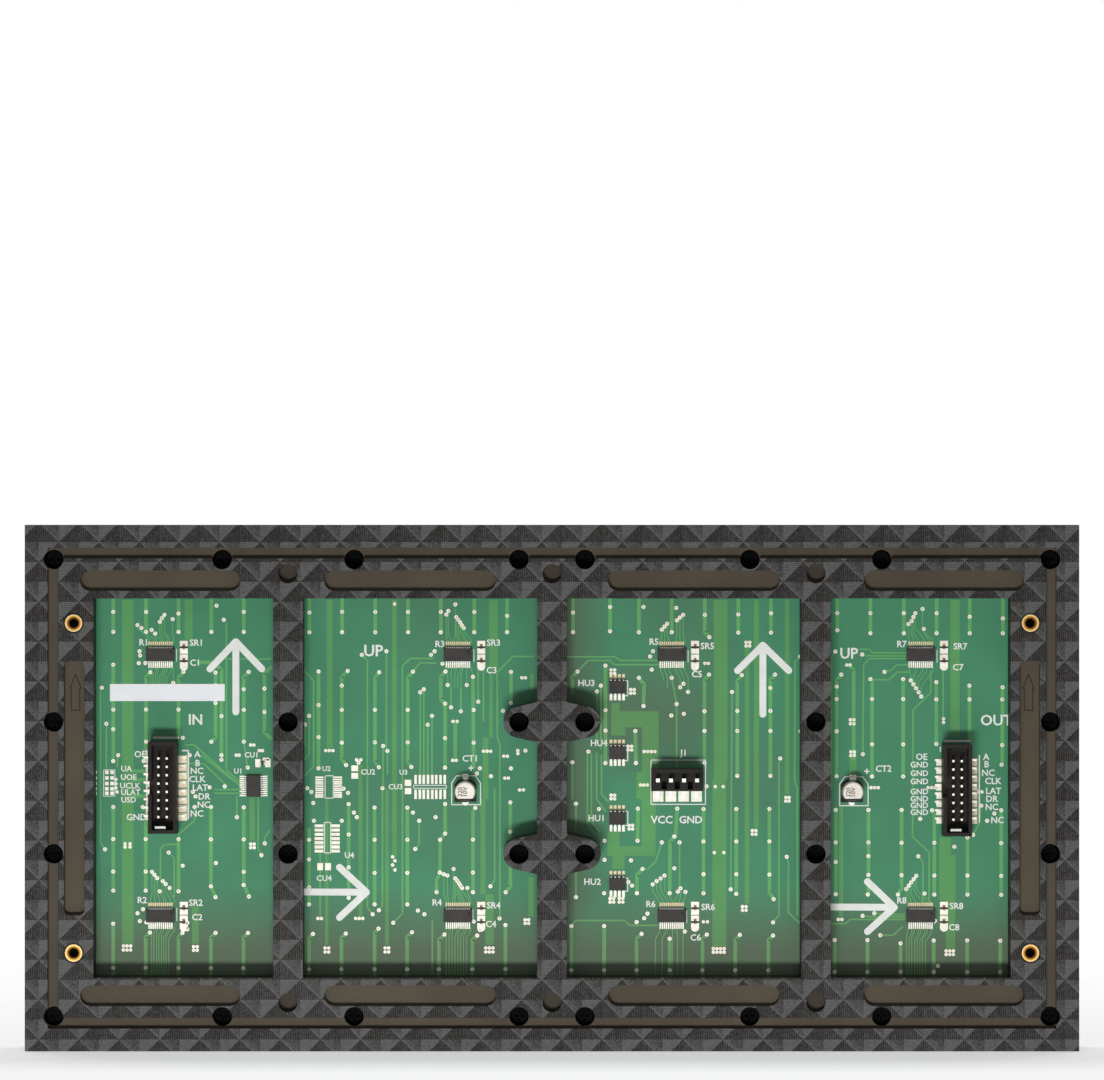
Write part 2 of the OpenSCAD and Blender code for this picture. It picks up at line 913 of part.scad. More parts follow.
// Ceramic chip with a metal cap on each end, lying along its own Y
module chip() {
    translate([-chip_w / 2, -chip_l / 2, chip_cap_lip])
        cube([chip_w, chip_l, chip_h]);
    for (side = [0, 1])
        mirror([0, side])
            translate([-chip_w / 2 - chip_cap_lip, chip_l / 2 - chip_cap, 0])
                cube([chip_w + 2 * chip_cap_lip, chip_cap + chip_cap_lip, chip_h + 2 * chip_cap_lip]);
}

module set_resistors() {
    color(package_grey)
        for (place = driver_places)
            on_back(place)
                translate([chip_beside, resistor_up])
                    chip();
}

module bypass_capacitors() {
    color(ceramic) {
        for (place = driver_places)
            on_back(place)
                translate([chip_beside, -bypass_down])
                    chip();
        on_back(buffer_place)
            translate(buffer_bypass)
                rotate(90)
                    chip();
    }
}

// Strip of paper inside the left window as seen from behind
module paper_label() {
    color(paper_white)
        on_back([0, label_row])
            translate([label_inset - window_x, -label_h / 2])
                cube([label_l, label_h, label_t]);
}

rear_frame();
face_mask();
circuit_board();
for (row = [1 : rows])
    led_row(row);
frame_screws();
brass_inserts();
input_header_shroud();
input_header_pins();
output_header_shroud();
output_header_pins();
power_socket_housing();
power_socket_pins();
for (index = [0 : len(driver_places) - 1])
    driver_circuit(driver_places[index]);
driver_leads();
for (index = [0 : len(switch_rows) - 1])
    row_switch(switch_rows[index]);
row_switch_leads();
buffer_circuit();
buffer_leads();
capacitor_can(can_places[0]);  // capacitor_can_left
capacitor_can(can_places[1]);  // capacitor_can_right
capacitor_base(can_places[0]);  // capacitor_base_left
capacitor_base(can_places[1]);  // capacitor_base_right
capacitor_terminals();
set_resistors();
bypass_capacitors();
paper_label();
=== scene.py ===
"""Looks of the LED display module: materials, printed board, finish details and stage."""
import itertools
import json
import math

import bmesh
import bpy
from bpy.props import FloatProperty, FloatVectorProperty, PointerProperty
from mathutils import Matrix, Vector


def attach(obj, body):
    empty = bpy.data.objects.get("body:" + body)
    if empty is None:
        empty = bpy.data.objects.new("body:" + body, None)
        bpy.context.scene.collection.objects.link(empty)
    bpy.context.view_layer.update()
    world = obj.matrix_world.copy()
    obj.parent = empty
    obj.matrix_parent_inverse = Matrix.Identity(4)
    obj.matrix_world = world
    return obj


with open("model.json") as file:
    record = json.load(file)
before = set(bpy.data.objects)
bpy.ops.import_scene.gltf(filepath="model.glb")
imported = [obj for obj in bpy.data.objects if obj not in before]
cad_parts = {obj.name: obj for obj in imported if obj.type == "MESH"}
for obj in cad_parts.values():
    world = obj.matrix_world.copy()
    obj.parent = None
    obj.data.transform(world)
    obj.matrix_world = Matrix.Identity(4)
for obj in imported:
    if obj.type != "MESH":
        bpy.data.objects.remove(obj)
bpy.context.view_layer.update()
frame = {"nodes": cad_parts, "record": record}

bl_info = {
    "name": "LED display module looks",
    "version": (1, 0, 0),
    "blender": (4, 5, 0),
    "location": "View3D > Sidebar > Display",
    "description": "Adds the printed board, finish details, materials and stage of an LED display module",
    "category": "Object",
}

# Places and sizes in these tables are millimetres: X and Z on the module, Y through its depth
MM = 0.001

# Planes of the module along Y
BACK_FACE = 8.9
SLOT_FLOOR = 6.7
SHROUD_LEDGE = 6.6
CAN_TOP = 6.5
PACKAGE_TOP = 0.3
NOTCH_FLOOR = 0.3
BOARD_BACK = -1.3
BOARD_FRONT = -2.9
PLATE_FRONT = -5.5
VISOR_TIP = -8.9

# LED grid: pitch, count and the middle of the first LED
PITCH = 10.0
COLUMNS, ROWS = 32, 16
FIRST_COLUMN, FIRST_ROW = -155.0, 4.8
# The one LED of a warmer cast: its column, and a height that only its row lies above
WARM_LED = (-125.0, 150.0)
# Lift that centres the rows on the pitch, and half the width and height of a lens as shares of the pitch
LED_LIFT, LED_LENS = 0.2, (0.121, 0.081)
# Marks on an LED, as shares of the pitch: middle, half the width, half the height
LED_MARKS = ((-0.03, 0.02, 0.045), (0.055, 0.008, 0.04))

# Middle of the module's height, and the fasteners' distances from it
MIDDLE = 79.8
INSERT_X, INSERT_RISE = 145.0, 50.0
# Inserts: radius, and outer radius of the painted shadow ring round each on the frame
INSERT_RADIUS, INSERT_SHADOW_EDGE = 3.0, 3.15
SCREWS = (((10.0, 60.0, 100.0, 151.1), 69.3), ((10.0, 80.0, 151.1), 20.0))
# Mask in front of a screw: radius of the sink mark, half the width and height of the notch in a lip, which is
# painted near black as shade
SINK_MARK, LIP_NOTCH = 2.4, (0.5, 2.6)
# Painted reflection of an LED under a visor, a cool gleam: half its width as a share of the pitch
LED_REFLECTION_WIDTH = 0.17
# Grain of the back: foot of its first row, and its shift along X
GRAIN_FOOT, GRAIN_SIDE = 3.6, 3.1

# Painted olive shade and reflection on the board: height and fade at the lower rail, middle and half sizes of
# a cloud, place and fade of an edge
OLIVE_RAIL, OLIVE_RAIL_FADE = 50.0, 20.0
OLIVE_CLOUD = ((-27.0, 101.0), (34.0, 21.0))
OLIVE_EDGE, OLIVE_EDGE_FADE = -6.0, 14.0

# Wide copper on the board's back: left, lower, right and upper edge
POURS = (
    (127.6, 31.5, 131.1, 136.8), (109.6, 124.5, 112, 136.8), (107.7, 31.9, 109.8, 43.3),
    (90.6, 63.3, 92.2, 76.3), (66.9, 91.4, 68.7, 136.8), (47.3, 58.2, 48.8, 136.8),
    (16.5, 115.8, 19.2, 136.8), (18, 94.8, 19.2, 115.8), (19.4, 76, 21.1, 94.8), (20.3, 47, 21.8, 76),
    (17.8, 31.5, 20.3, 47), (68.2, 31.5, 69.2, 76.3), (57.8, 40.2, 59, 86.5), (49.8, 31.5, 50.9, 79.1),
    (5.6, 40.2, 7.2, 52.2), (5.6, 109, 6.6, 114.3), (-53.5, 82.2, -49.3, 136.8), (-53.2, 30.9, -48.9, 82.2),
    (-60.2, 44.2, -58.8, 122.3), (-63.1, 67.3, -61.6, 136.8), (-72.4, 77.5, -71, 136.8),
    (-20.6, 102.8, -18.1, 105.3), (-22.4, 95.4, -18.1, 102.8), (-32.5, 97.9, -21.2, 102.8),
    (-32.5, 84.3, -27.5, 97.9), (-30.3, 76, -25.8, 84.3), (-31.6, 58.7, -27.3, 76),
    (-31.6, 58.7, -16.9, 61.6), (-20.6, 58.7, -16.9, 66.1), (-22.1, 54.7, -18.4, 58.7),
    (-124.3, 95.1, -121.5, 136.8), (-88.8, 40.2, -87.5, 73.8), (-121.7, 59, -118.1, 64.3),
    (-123, 45.1, -118.1, 59), (-123, 30.3, -120.1, 45.1), (-92.8, 79.1, -90.7, 89),
)
# Copper lines on the board's back: width, then the points of the line
TRACES = (
    (1.1, (133.8, 136.8), (133.8, 127)), (1.1, (133.8, 117), (133.8, 87.6)),
    (1.1, (133.8, 73.6), (133.8, 48.1)), (1.1, (133.8, 38), (133.8, 21.4)),
    (1.1, (123.8, 136.8), (123.8, 127)),
    (1.1, (122.5, 114.7), (123.8, 113.3), (123.8, 93.5), (124.5, 87.6)),
    (1.1, (124.8, 73.6), (123.9, 72.3), (123.9, 48.1)), (1.1, (122.6, 35.3), (123.9, 34), (123.9, 21.4)),
    (1.1, (113.9, 136.8), (113.9, 127)), (1.1, (112.4, 114.8), (113.9, 113), (113.9, 95.4)),
    (1.1, (113.9, 63.8), (113.9, 47.9)), (1.1, (112.7, 35.2), (113.9, 34), (113.9, 21.4)),
    (1.1, (103.9, 136.8), (103.9, 127)), (1.1, (102.6, 114.6), (102.6, 94.8), (103.9, 93.5)),
    (1.1, (104, 73.6), (104, 49.4), (102.6, 46.1)), (1.1, (102.6, 35.2), (104, 33.9), (104, 21.4)),
    (1.1, (107.8, 117.7), (103.2, 117.7), (100.8, 115.5), (100.8, 88)), (1.1, (94, 136.8), (94, 127)),
    (1.1, (92.5, 114.8), (94, 113.3), (94, 93.5)), (1.1, (94, 73.5), (94, 49.8), (92.4, 46.3)),
    (1.1, (92.7, 35.2), (94.1, 33.7), (94.1, 21.4)),
    (1.1, (85.8, 116.1), (87.7, 114.3), (87.7, 96.4), (85.8, 94.5)), (1.1, (127.7, 84.5), (123.9, 84.5)),
    (1.1, (127.7, 81.9), (123.9, 81.9)), (1.1, (127.7, 76.9), (123.9, 76.9)),
    (0.5, (94, 93.5), (92.8, 85.6)), (0.5, (100.1, 130.7), (99.3, 130), (99.3, 84.9), (95.3, 81.2)),
    (0.5, (99.5, 118.7), (85.8, 118.7)), (0.5, (137.3, 110), (137.7, 109.3), (137.7, 62.7), (136.3, 60.7)),
    (0.5, (135.9, 99), (135.9, 84.9)), (0.5, (132.3, 89.4), (132.6, 85.9)),
    (0.5, (111.7, 92.5), (109.1, 92.5), (95, 80)), (0.5, (106.9, 89.3), (96.5, 81.2)),
    (0.5, (111.3, 86.9), (106.2, 86.8), (99.7, 80.6)),
    (0.5, (109, 73.6), (109, 69.5), (113.6, 65.5), (113.9, 63.8)),
    (0.5, (114, 62.3), (118.2, 62.1), (119.4, 60.9), (119.4, 51.9)),
    (0.5, (116.9, 59.7), (115.2, 58), (115.2, 46.4)), (0.5, (96.1, 70.5), (96.1, 76.9)),
    (0.5, (102.9, 78.9), (95, 78.9)), (0.5, (102.9, 77.8), (95, 77.8)),
    (0.5, (89.6, 76.3), (89.6, 60.9), (88.6, 58.9)), (0.5, (87.6, 62.5), (87.6, 64.3), (86.1, 66.4)),
    (0.3, (122.7, 123.8), (122.7, 124.8), (126.4, 128.1), (126.4, 129.1)),
    (0.3, (121.4, 123.8), (121.4, 124.8), (125.2, 127.4), (125.2, 128.2)),
    (0.3, (120.7, 123.8), (120.7, 124.8), (122.1, 126.8), (122.1, 127.6)),
    (0.3, (119.4, 123.8), (119.4, 124.8), (121, 126), (121, 126.5)),
    (0.3, (118.7, 123.8), (118.7, 124.8), (119.6, 126.6), (119.6, 130.1)),
    (0.3, (117.4, 123.8), (117.4, 124.8), (119, 127.3), (119, 131.2)),
    (0.3, (116.7, 123.8), (116.7, 124.8), (118.2, 127.2), (118.2, 132.2)),
    (0.3, (115.4, 123.8), (115.4, 124.8), (115.7, 126), (115.7, 130.9)),
    (0.3, (122.7, 116.1), (122.7, 115.2), (122.4, 114), (122.4, 110.6)),
    (0.3, (122, 116.1), (122, 115.2), (121.7, 113.9), (121.7, 110.6)),
    (0.3, (120.7, 116.1), (120.7, 115.2), (121, 114), (121, 110.6)),
    (0.3, (120.1, 116.1), (120.1, 115.2), (120.3, 114), (120.3, 110.6)),
    (0.3, (118.7, 116.1), (118.7, 115.2), (119.6, 113.4), (119.6, 110.6)),
    (0.3, (118.1, 116.1), (118.1, 115.2), (118.9, 113.4), (118.9, 110.6)),
    (0.3, (117.4, 116.1), (117.4, 115.2), (118.2, 113.4), (118.2, 110.6)),
    (0.3, (116.1, 116.1), (116.1, 115.2), (117.5, 112.8), (117.5, 110.6)),
    (0.3, (115.4, 116.1), (115.4, 115.2), (115.5, 114.2), (115.5, 111.4)),
    (0.3, (122.4, 44.5), (122.4, 45.4), (122, 46.7), (122, 53.8)),
    (0.3, (121.1, 44.5), (121.1, 45.4), (121.2, 46.5), (121.2, 52.9)),
    (0.3, (119.7, 44.5), (119.7, 45.4), (120.4, 47), (120.4, 51.9)),
    (0.3, (118.4, 44.5), (118.4, 45.4), (119.6, 47.2), (119.6, 47.9)),
    (0.3, (117.8, 44.5), (117.8, 45.4), (118.7, 47.3), (118.7, 51)),
    (0.3, (116.4, 44.5), (116.4, 45.4), (117.8, 47.8), (117.8, 50.1)),
    (0.3, (115.1, 44.5), (115.1, 45.4), (116.6, 47.8), (116.6, 48.9)),
    (0.3, (122.4, 37.1), (122.4, 36.2), (122.1, 34.9), (122.1, 21.4)),
    (0.3, (121.1, 37.1), (121.1, 36.2), (121.4, 35), (121.4, 21.4)),
    (0.3, (120.4, 37.1), (120.4, 36.2), (120.6, 35), (120.6, 21.4)),
    (0.3, (119.1, 37.1), (119.1, 36.2), (119.9, 34.4), (119.9, 21.4)),
    (0.3, (118.4, 37.1), (118.4, 36.2), (119.1, 34.5), (119.1, 21.4)),
    (0.3, (117.1, 37.1), (117.1, 36.2), (118.4, 33.9), (118.4, 21.4)),
    (0.3, (116.4, 37.1), (116.4, 36.2), (117.7, 34), (117.7, 21.4)),
    (0.3, (115.1, 37.1), (115.1, 36.2), (116.9, 33.4), (116.9, 21.4)), (1.1, (74, 136.8), (74, 126.9)),
    (1.1, (71.2, 114.9), (71.2, 85.4)), (1.1, (64, 136.8), (64, 126.9)),
    (1.1, (62.3, 115.1), (64.1, 113.3), (64.1, 88.3), (62.8, 86.4)), (1.1, (53.9, 136.8), (53.9, 126.9)),
    (1.1, (52.7, 114.7), (54, 113), (54, 87.4), (52.8, 85.7)), (1.1, (43.9, 136.8), (43.9, 126.9)),
    (1.1, (42.4, 114.9), (44, 113), (44, 87.4), (42.9, 85.8)), (1.1, (33.9, 136.8), (33.9, 126.9)),
    (1.1, (32.5, 114.9), (33.9, 113.3), (33.9, 106.5), (32.6, 105.1), (32.6, 85.6)),
    (1.1, (23.7, 136.8), (23.7, 126.9)), (1.1, (24.1, 113.3), (23.9, 85.9)),
    (1.1, (13.7, 136.8), (13.7, 126.9)), (1.1, (12.5, 114.8), (12.5, 105.3)),
    (1.1, (74.1, 66.7), (74.1, 43.9)), (1.1, (72.9, 34.9), (74.1, 33.7), (74.1, 21.4)),
    (1.1, (62, 74.5), (62, 45.9)), (1.1, (62.9, 35), (64.2, 33.7), (64.2, 21.4)),
    (1.1, (54.1, 73.4), (54.1, 43.9)), (1.1, (52.9, 36.5), (54.1, 35.2), (54.1, 21.4)),
    (1.1, (44.1, 73.4), (44.1, 43.9)), (1.1, (42.7, 35.4), (44.2, 34), (44.2, 21.4)),
    (1.1, (32.6, 74.5), (32.6, 65.5), (34.1, 63.6), (34.2, 53.6), (35.2, 51.3), (35.2, 47.6)),
    (1.1, (32.8, 34.7), (34.5, 33.1), (34.5, 21.4)), (1.1, (24.1, 72.3), (24.1, 47.6)),
    (1.1, (22.8, 34.4), (24.3, 33.1), (24.3, 21.4)), (1.1, (12.7, 75), (12.7, 49.4), (14.1, 47.6)),
    (1.1, (14.2, 37.6), (14.2, 21.4)), (1.1, (29.5, 99.7), (29.5, 87.8)),
    (0.5, (58, 120), (56.3, 118.3), (56.3, 43), (54.7, 40.9)), (0.5, (50.5, 121.1), (50.5, 90.8)),
    (0.5, (43.1, 118.9), (45.6, 116.7), (45.6, 41.1), (48.4, 38.3)), (0.5, (36.4, 118.9), (43.1, 118.9)),
    (0.5, (35.5, 117.5), (40.4, 117.5), (42.4, 114.9)), (0.5, (40.2, 108.6), (40.2, 83.7)),
    (0.5, (39.1, 109.5), (39.1, 83.7)), (0.5, (37.9, 98.7), (37.9, 83.7)),
    (0.5, (36.6, 101.4), (36.6, 83.7)), (0.5, (51.5, 92.2), (51.5, 79.1)),
    (0.5, (50.2, 90.7), (50.2, 83.7)), (0.5, (22.5, 115.5), (22.5, 105.7)),
    (0.5, (20.9, 116.7), (20.9, 99.9)),
    (0.5, (5.6, 119.5), (12, 119.5), (16.7, 114.7), (16.7, 94.8), (15.9, 92.7), (15.9, 76)),
    (0.5, (76.1, 115.8), (72.7, 112.1), (72.7, 85.9), (75.8, 82.8)),
    (0.5, (74.1, 101.4), (74.1, 89.6), (76.4, 87.1)), (0.5, (75.3, 98.8), (75.3, 92)),
    (0.5, (70.7, 59.9), (70.7, 40.2)), (0.5, (52.8, 42.1), (51.7, 43.6), (51.7, 79.3)),
    (0.5, (40.5, 69.4), (40.5, 62.4), (41.7, 60.8)), (0.5, (36.5, 38.9), (36.5, 21.4)),
    (0.5, (17.5, 79.1), (17.5, 51.3), (18.8, 49.4)), (0.5, (15.9, 76), (15.9, 39.6)),
    (0.5, (30.8, 104), (30.8, 109.9)), (0.5, (27.8, 102.8), (27.8, 109.9)),
    (0.3, (32, 123.5), (32, 124.4), (32.2, 125.6), (32.2, 132.3)),
    (0.3, (30.7, 123.5), (30.7, 124.4), (31.6, 126.3), (31.6, 133.4)),
    (0.3, (30, 123.5), (30, 124.4), (29.5, 125.8), (29.5, 135.4)),
    (0.3, (28.6, 123.5), (28.6, 124.4), (29.2, 126), (29.2, 131.5)),
    (0.3, (27.9, 123.5), (27.9, 124.4), (28.6, 126.1), (28.6, 130.7)),
    (0.3, (26.6, 123.5), (26.6, 124.4), (28, 126.9), (28, 129.9)),
    (0.3, (25.9, 123.5), (25.9, 124.4), (27.5, 127), (27.5, 129)),
    (0.3, (24.5, 123.5), (24.5, 124.4), (26.9, 127.3), (26.9, 128.2)),
    (0.3, (32, 116.1), (32, 115.2), (31.8, 114.1), (31.8, 110.8)),
    (0.3, (30.7, 116.1), (30.7, 115.2), (30.8, 114.2), (30.8, 109.9)),
    (0.3, (29.3, 116.1), (29.3, 115.2), (29.7, 113.8), (29.7, 109.9)),
    (0.3, (27.9, 116.1), (27.9, 115.2), (28.8, 113.4), (28.8, 109.9)),
    (0.3, (27.3, 116.1), (27.3, 115.2), (27.8, 113.7), (27.8, 109.9)),
    (0.3, (25.9, 116.1), (25.9, 115.2), (26, 114.2), (26, 110.8)),
    (0.3, (24.5, 116.1), (24.5, 115.2), (23.9, 113.6), (23.9, 111.5)),
    (0.3, (32.3, 44.5), (32.3, 45.4), (33, 47.1), (33, 53.1)),
    (0.3, (31.6, 44.5), (31.6, 45.4), (31.9, 46.6), (31.9, 52.7)),
    (0.3, (30.3, 44.5), (30.3, 45.4), (30, 46.6), (30, 54.7)),
    (0.3, (29.6, 44.5), (29.6, 45.4), (29.5, 46.5), (29.5, 51.8)),
    (0.3, (28.2, 44.5), (28.2, 45.4), (28.9, 47.1), (28.9, 51.1)),
    (0.3, (27.6, 44.5), (27.6, 45.4), (28.4, 47.2), (28.4, 50.4)),
    (0.3, (26.9, 44.5), (26.9, 45.4), (27.9, 47.4), (27.9, 49.6)),
    (0.3, (25.5, 44.5), (25.5, 45.4), (27.4, 48), (27.4, 48.9)),
    (0.3, (24.8, 44.5), (24.8, 45.4), (25.8, 47.3), (25.8, 48.9)),
    (0.3, (32.3, 36.8), (32.3, 35.9), (32.3, 34.9), (32.3, 21.4)),
    (0.3, (31, 36.8), (31, 35.9), (31.4, 34.5), (31.4, 21.4)),
    (0.3, (30.3, 36.8), (30.3, 35.9), (30.5, 34.7), (30.5, 21.4)),
    (0.3, (28.9, 36.8), (28.9, 35.9), (29.6, 34.2), (29.6, 21.4)),
    (0.3, (28.2, 36.8), (28.2, 35.9), (28.7, 34.4), (28.7, 21.4)),
    (0.3, (26.9, 36.8), (26.9, 35.9), (27.9, 34), (27.9, 21.4)),
    (0.3, (26.2, 36.8), (26.2, 35.9), (27, 34.2), (27, 21.4)),
    (0.3, (24.8, 36.8), (24.8, 35.9), (26.1, 33.7), (26.1, 21.4)), (1.1, (-6.4, 136.8), (-6.4, 126.9)),
    (1.1, (-17.7, 136.8), (-17.7, 127.2)), (1.1, (-26.5, 136.8), (-26.5, 126.9)),
    (1.1, (-36.5, 136.8), (-36.5, 126.9)), (1.1, (-46.6, 136.8), (-46.6, 126.9), (-48, 125.4)),
    (1.1, (-56.8, 136.8), (-56.8, 126.8)), (1.1, (-66.8, 136.8), (-66.8, 126.8)),
    (1.1, (-16.3, 116.7), (-16.3, 87)), (1.1, (-47.9, 114), (-46.5, 112.4), (-46.5, 87)),
    (1.1, (-57.9, 113.8), (-56.5, 112.1), (-56.5, 83.1)), (1.1, (-68, 114), (-66.6, 112.4), (-66.6, 83.1)),
    (1.1, (-7.8, 114.9), (-6.2, 113.3), (-6.2, 108.4)), (1.1, (-46.2, 73), (-46.2, 47.3)),
    (1.1, (-56.2, 73), (-56.2, 47.1)), (1.1, (-66.3, 73), (-66.3, 47.6), (-67.6, 45.5)),
    (1.1, (-5.9, 37.3), (-5.9, 21.4)), (1.1, (-15.9, 37.3), (-15.9, 21.4)),
    (1.1, (-27.3, 34.9), (-25.8, 33.4), (-25.8, 21.4)), (1.1, (-35.9, 33.4), (-35.9, 21.4)),
    (1.1, (-47.2, 34.7), (-45.9, 33.4), (-45.9, 21.4)), (1.1, (-57.3, 34.6), (-55.9, 33.2), (-55.9, 21.4)),
    (1.1, (-67.4, 34.4), (-66, 33.1), (-66, 21.4)), (1.1, (-25.4, 96.8), (-25.6, 87)),
    (1.1, (-26.2, 73.1), (-26.1, 63.3)), (1.1, (-27.6, 54.7), (-25.9, 52.8), (-25.9, 47.3)),
    (1.1, (-37.3, 64.6), (-36, 63), (-35.9, 47.3)), (1.1, (-26.5, 113), (-28.1, 111), (-27.9, 104.4)),
    (1.1, (-38.2, 73.1), (-37.7, 65)), (0.5, (-4.4, 119.4), (-19.1, 119.4), (-20.9, 118.3), (-32.2, 118.3)),
    (0.5, (-7.8, 114.9), (-11, 118.3), (-17.7, 118.3), (-19.1, 117), (-32.5, 117)),
    (0.5, (-36.5, 113), (-38, 105), (-38, 95), (-38, 85.2)), (0.5, (-14.9, 110.6), (-14.9, 91.4)),
    (0.5, (-13.7, 108.8), (-13.7, 93)),
    (0.5, (-5.9, 37.3), (-7.2, 39), (-22.1, 39), (-23.7, 37.5), (-32.2, 37.5)),
    (0.5, (-33.5, 62.8), (-31.6, 56.9), (-29.1, 54.7), (-27.6, 54.7)), (0.5, (-38.9, 62.8), (-38.9, 48.2)),
    (0.5, (-54.9, 108.7), (-54.5, 48.5)), (0.5, (-69.6, 88.4), (-69.2, 87.1), (-69.2, 40.5), (-67.4, 38.4)),
    (0.5, (-75.7, 119.5), (-74.1, 118), (-74, 81.3), (-74.8, 79.7), (-74.8, 40.5)),
    (0.5, (-71.6, 58.4), (-72.1, 56.9), (-72.1, 41.4), (-75.5, 38.3)),
    (0.5, (-10.8, 89.9), (-10.8, 68), (-13.9, 64.9)), (0.5, (-12, 89.9), (-12, 69.2), (-14.5, 66.1)),
    (0.5, (-13.6, 89.9), (-13.6, 76), (-16.3, 72.3)), (0.5, (-15.1, 89.3), (-15.1, 77.5), (-17.2, 75.1)),
    (0.5, (-7.3, 46.1), (-7.3, 57.5)), (0.5, (-6.2, 87.2), (-6.2, 76)), (0.5, (-7.3, 74.6), (-7.3, 66.7)),
    (0.3, (-33.1, 123.5), (-33.1, 124.4), (-33.5, 125.8), (-33.5, 127.7)),
    (0.3, (-34.4, 123.5), (-34.4, 124.4), (-34.3, 125.5), (-34.3, 128.6)),
    (0.3, (-35.7, 123.5), (-35.7, 124.4), (-35.1, 126.1), (-35.1, 129.5)),
    (0.3, (-37.7, 123.5), (-37.7, 124.4), (-38.1, 125.7), (-38.1, 130.5)),
    (0.3, (-39.1, 123.5), (-39.1, 124.4), (-39, 125.4), (-39, 131.4)),
    (0.3, (-40.4, 123.5), (-40.4, 124.4), (-40, 125.8), (-40, 132.2)),
    (0.3, (-33.1, 116.1), (-33.1, 115.2), (-34, 113.3), (-34, 112.4)),
    (0.3, (-34.4, 116.1), (-34.4, 115.2), (-35.2, 113.4), (-35.2, 109.9)),
    (0.3, (-35.7, 116.1), (-35.7, 115.2), (-36.5, 113.6), (-36.5, 113)),
    (0.3, (-37.7, 116.1), (-37.7, 115.2), (-39.1, 112.9), (-39.1, 110.1)),
    (0.3, (-39.1, 116.1), (-39.1, 115.2), (-40.1, 113.2), (-40.1, 111.2)),
    (0.3, (-40.4, 116.1), (-40.4, 115.2), (-41.5, 113.2), (-41.5, 108.7)),
    (0.3, (-32.8, 43.9), (-32.8, 44.8), (-30.7, 47.8), (-30.7, 50)),
    (0.3, (-34.1, 43.9), (-34.1, 44.8), (-31.9, 48), (-31.9, 51)),
    (0.3, (-35.4, 43.9), (-35.4, 44.8), (-33.1, 48.1), (-33.1, 51.8)),
    (0.3, (-36.8, 43.9), (-36.8, 44.8), (-34.3, 48.3), (-34.3, 52.7)),
    (0.3, (-37.4, 43.9), (-37.4, 44.8), (-38.4, 46.8), (-38.4, 47.8)),
    (0.3, (-38.8, 43.9), (-38.8, 44.8), (-39.2, 46.2), (-39.2, 48.8)),
    (0.3, (-40.1, 43.9), (-40.1, 44.8), (-40.7, 46.4), (-40.7, 47.7)),
    (0.3, (-32.8, 36.5), (-32.8, 35.6), (-31.5, 33.3), (-31.5, 21.4)),
    (0.3, (-34.8, 36.5), (-34.8, 35.6), (-33.6, 33.5), (-33.6, 21.4)),
    (0.3, (-36.8, 36.5), (-36.8, 35.6), (-36.7, 34.6), (-36.7, 21.4)),
    (0.3, (-38.1, 36.5), (-38.1, 35.6), (-38.3, 34.5), (-38.3, 21.4)),
    (0.3, (-40.1, 36.5), (-40.1, 35.6), (-39.9, 34.4), (-39.9, 21.4)), (1.1, (-87, 136.8), (-87, 127.5)),
    (1.1, (-88.2, 114), (-86.8, 112.4), (-86.8, 83)), (1.1, (-97.1, 136.8), (-97.1, 126.6)),
    (1.1, (-97.1, 112.6), (-97.6, 111.8), (-97.6, 82.9)), (1.1, (-107.3, 136.8), (-107.3, 126.6)),
    (1.1, (-107.1, 112.6), (-107.1, 82.9)), (1.1, (-117.3, 136.8), (-117.3, 126.6)),
    (1.1, (-117.2, 111.7), (-117.2, 92.8)), (1.1, (-127.4, 136.8), (-127.4, 126.6)),
    (1.1, (-127.3, 110.6), (-127.3, 93.9)), (1.1, (-137.5, 136.8), (-137.5, 126.6)),
    (1.1, (-137.4, 110.1), (-137.3, 86.5)), (1.1, (-86.5, 72.7), (-86.5, 47)),
    (1.1, (-96.5, 72.7), (-96.5, 46.9)), (1.1, (-106.6, 72.7), (-106.6, 48.8), (-105.5, 46.9)),
    (1.1, (-115.9, 72.6), (-116.6, 71.4), (-116.6, 46.9)), (1.1, (-126.7, 64.3), (-126.7, 46.9)),
    (1.1, (-137, 72.6), (-137, 46.8)), (1.1, (-86.2, 33), (-86.2, 21.4)), (1.1, (-96.2, 33), (-96.2, 21.4)),
    (1.1, (-106.3, 32), (-106.3, 21.4)), (1.1, (-116.4, 32.9), (-116.4, 21.4)),
    (1.1, (-126.6, 32.9), (-126.6, 21.4)), (1.1, (-136.7, 32.8), (-136.7, 21.4)),
    (1.1, (-90.4, 116.9), (-92, 115.5), (-92, 88.3)),
    (0.5, (-93.4, 121.7), (-96.8, 121.7), (-97.7, 120.6), (-108.1, 120.6)),
    (0.5, (-94.6, 120.1), (-95.6, 119.7), (-108.1, 119.7)),
    (0.5, (-108.1, 118.9), (-96.6, 118.9), (-95, 116.8), (-94.8, 89.7)),
    (0.5, (-101.4, 114.8), (-103.7, 115.5), (-105.2, 117), (-108.4, 117)),
    (0.5, (-97.4, 112.4), (-102.8, 112.4), (-105.3, 114.7), (-109, 114.7)),
    (0.5, (-115.5, 114.9), (-115.5, 108.5), (-110.1, 103.2), (-110, 70.1), (-109.9, 64.6), (-115, 59.8),
     (-115, 43.9)), (0.5, (-119.3, 114.9), (-119.3, 100.1)),
    (0.5, (-111.7, 58.6), (-113.1, 56.9), (-113.1, 43.9)),
    (0.5, (-98.3, 41.2), (-101.7, 40.8), (-107.5, 40.8)),
    (0.5, (-94.7, 40.4), (-96.8, 40.1), (-107.5, 40.1)),
    (0.5, (-85.2, 38), (-89.5, 38), (-91, 39.3), (-107.5, 39.3)),
    (0.5, (-100.1, 34.5), (-104.1, 34.5), (-106.9, 37.1)),
    (0.5, (-130.9, 74), (-130.2, 68.4), (-128.4, 65.1)), (0.5, (-86.4, 121), (-85.2, 119.2), (-85.2, 79.1)),
    (0.3, (-109, 123.5), (-109, 124.4), (-108.7, 125.7), (-108.7, 129.4)),
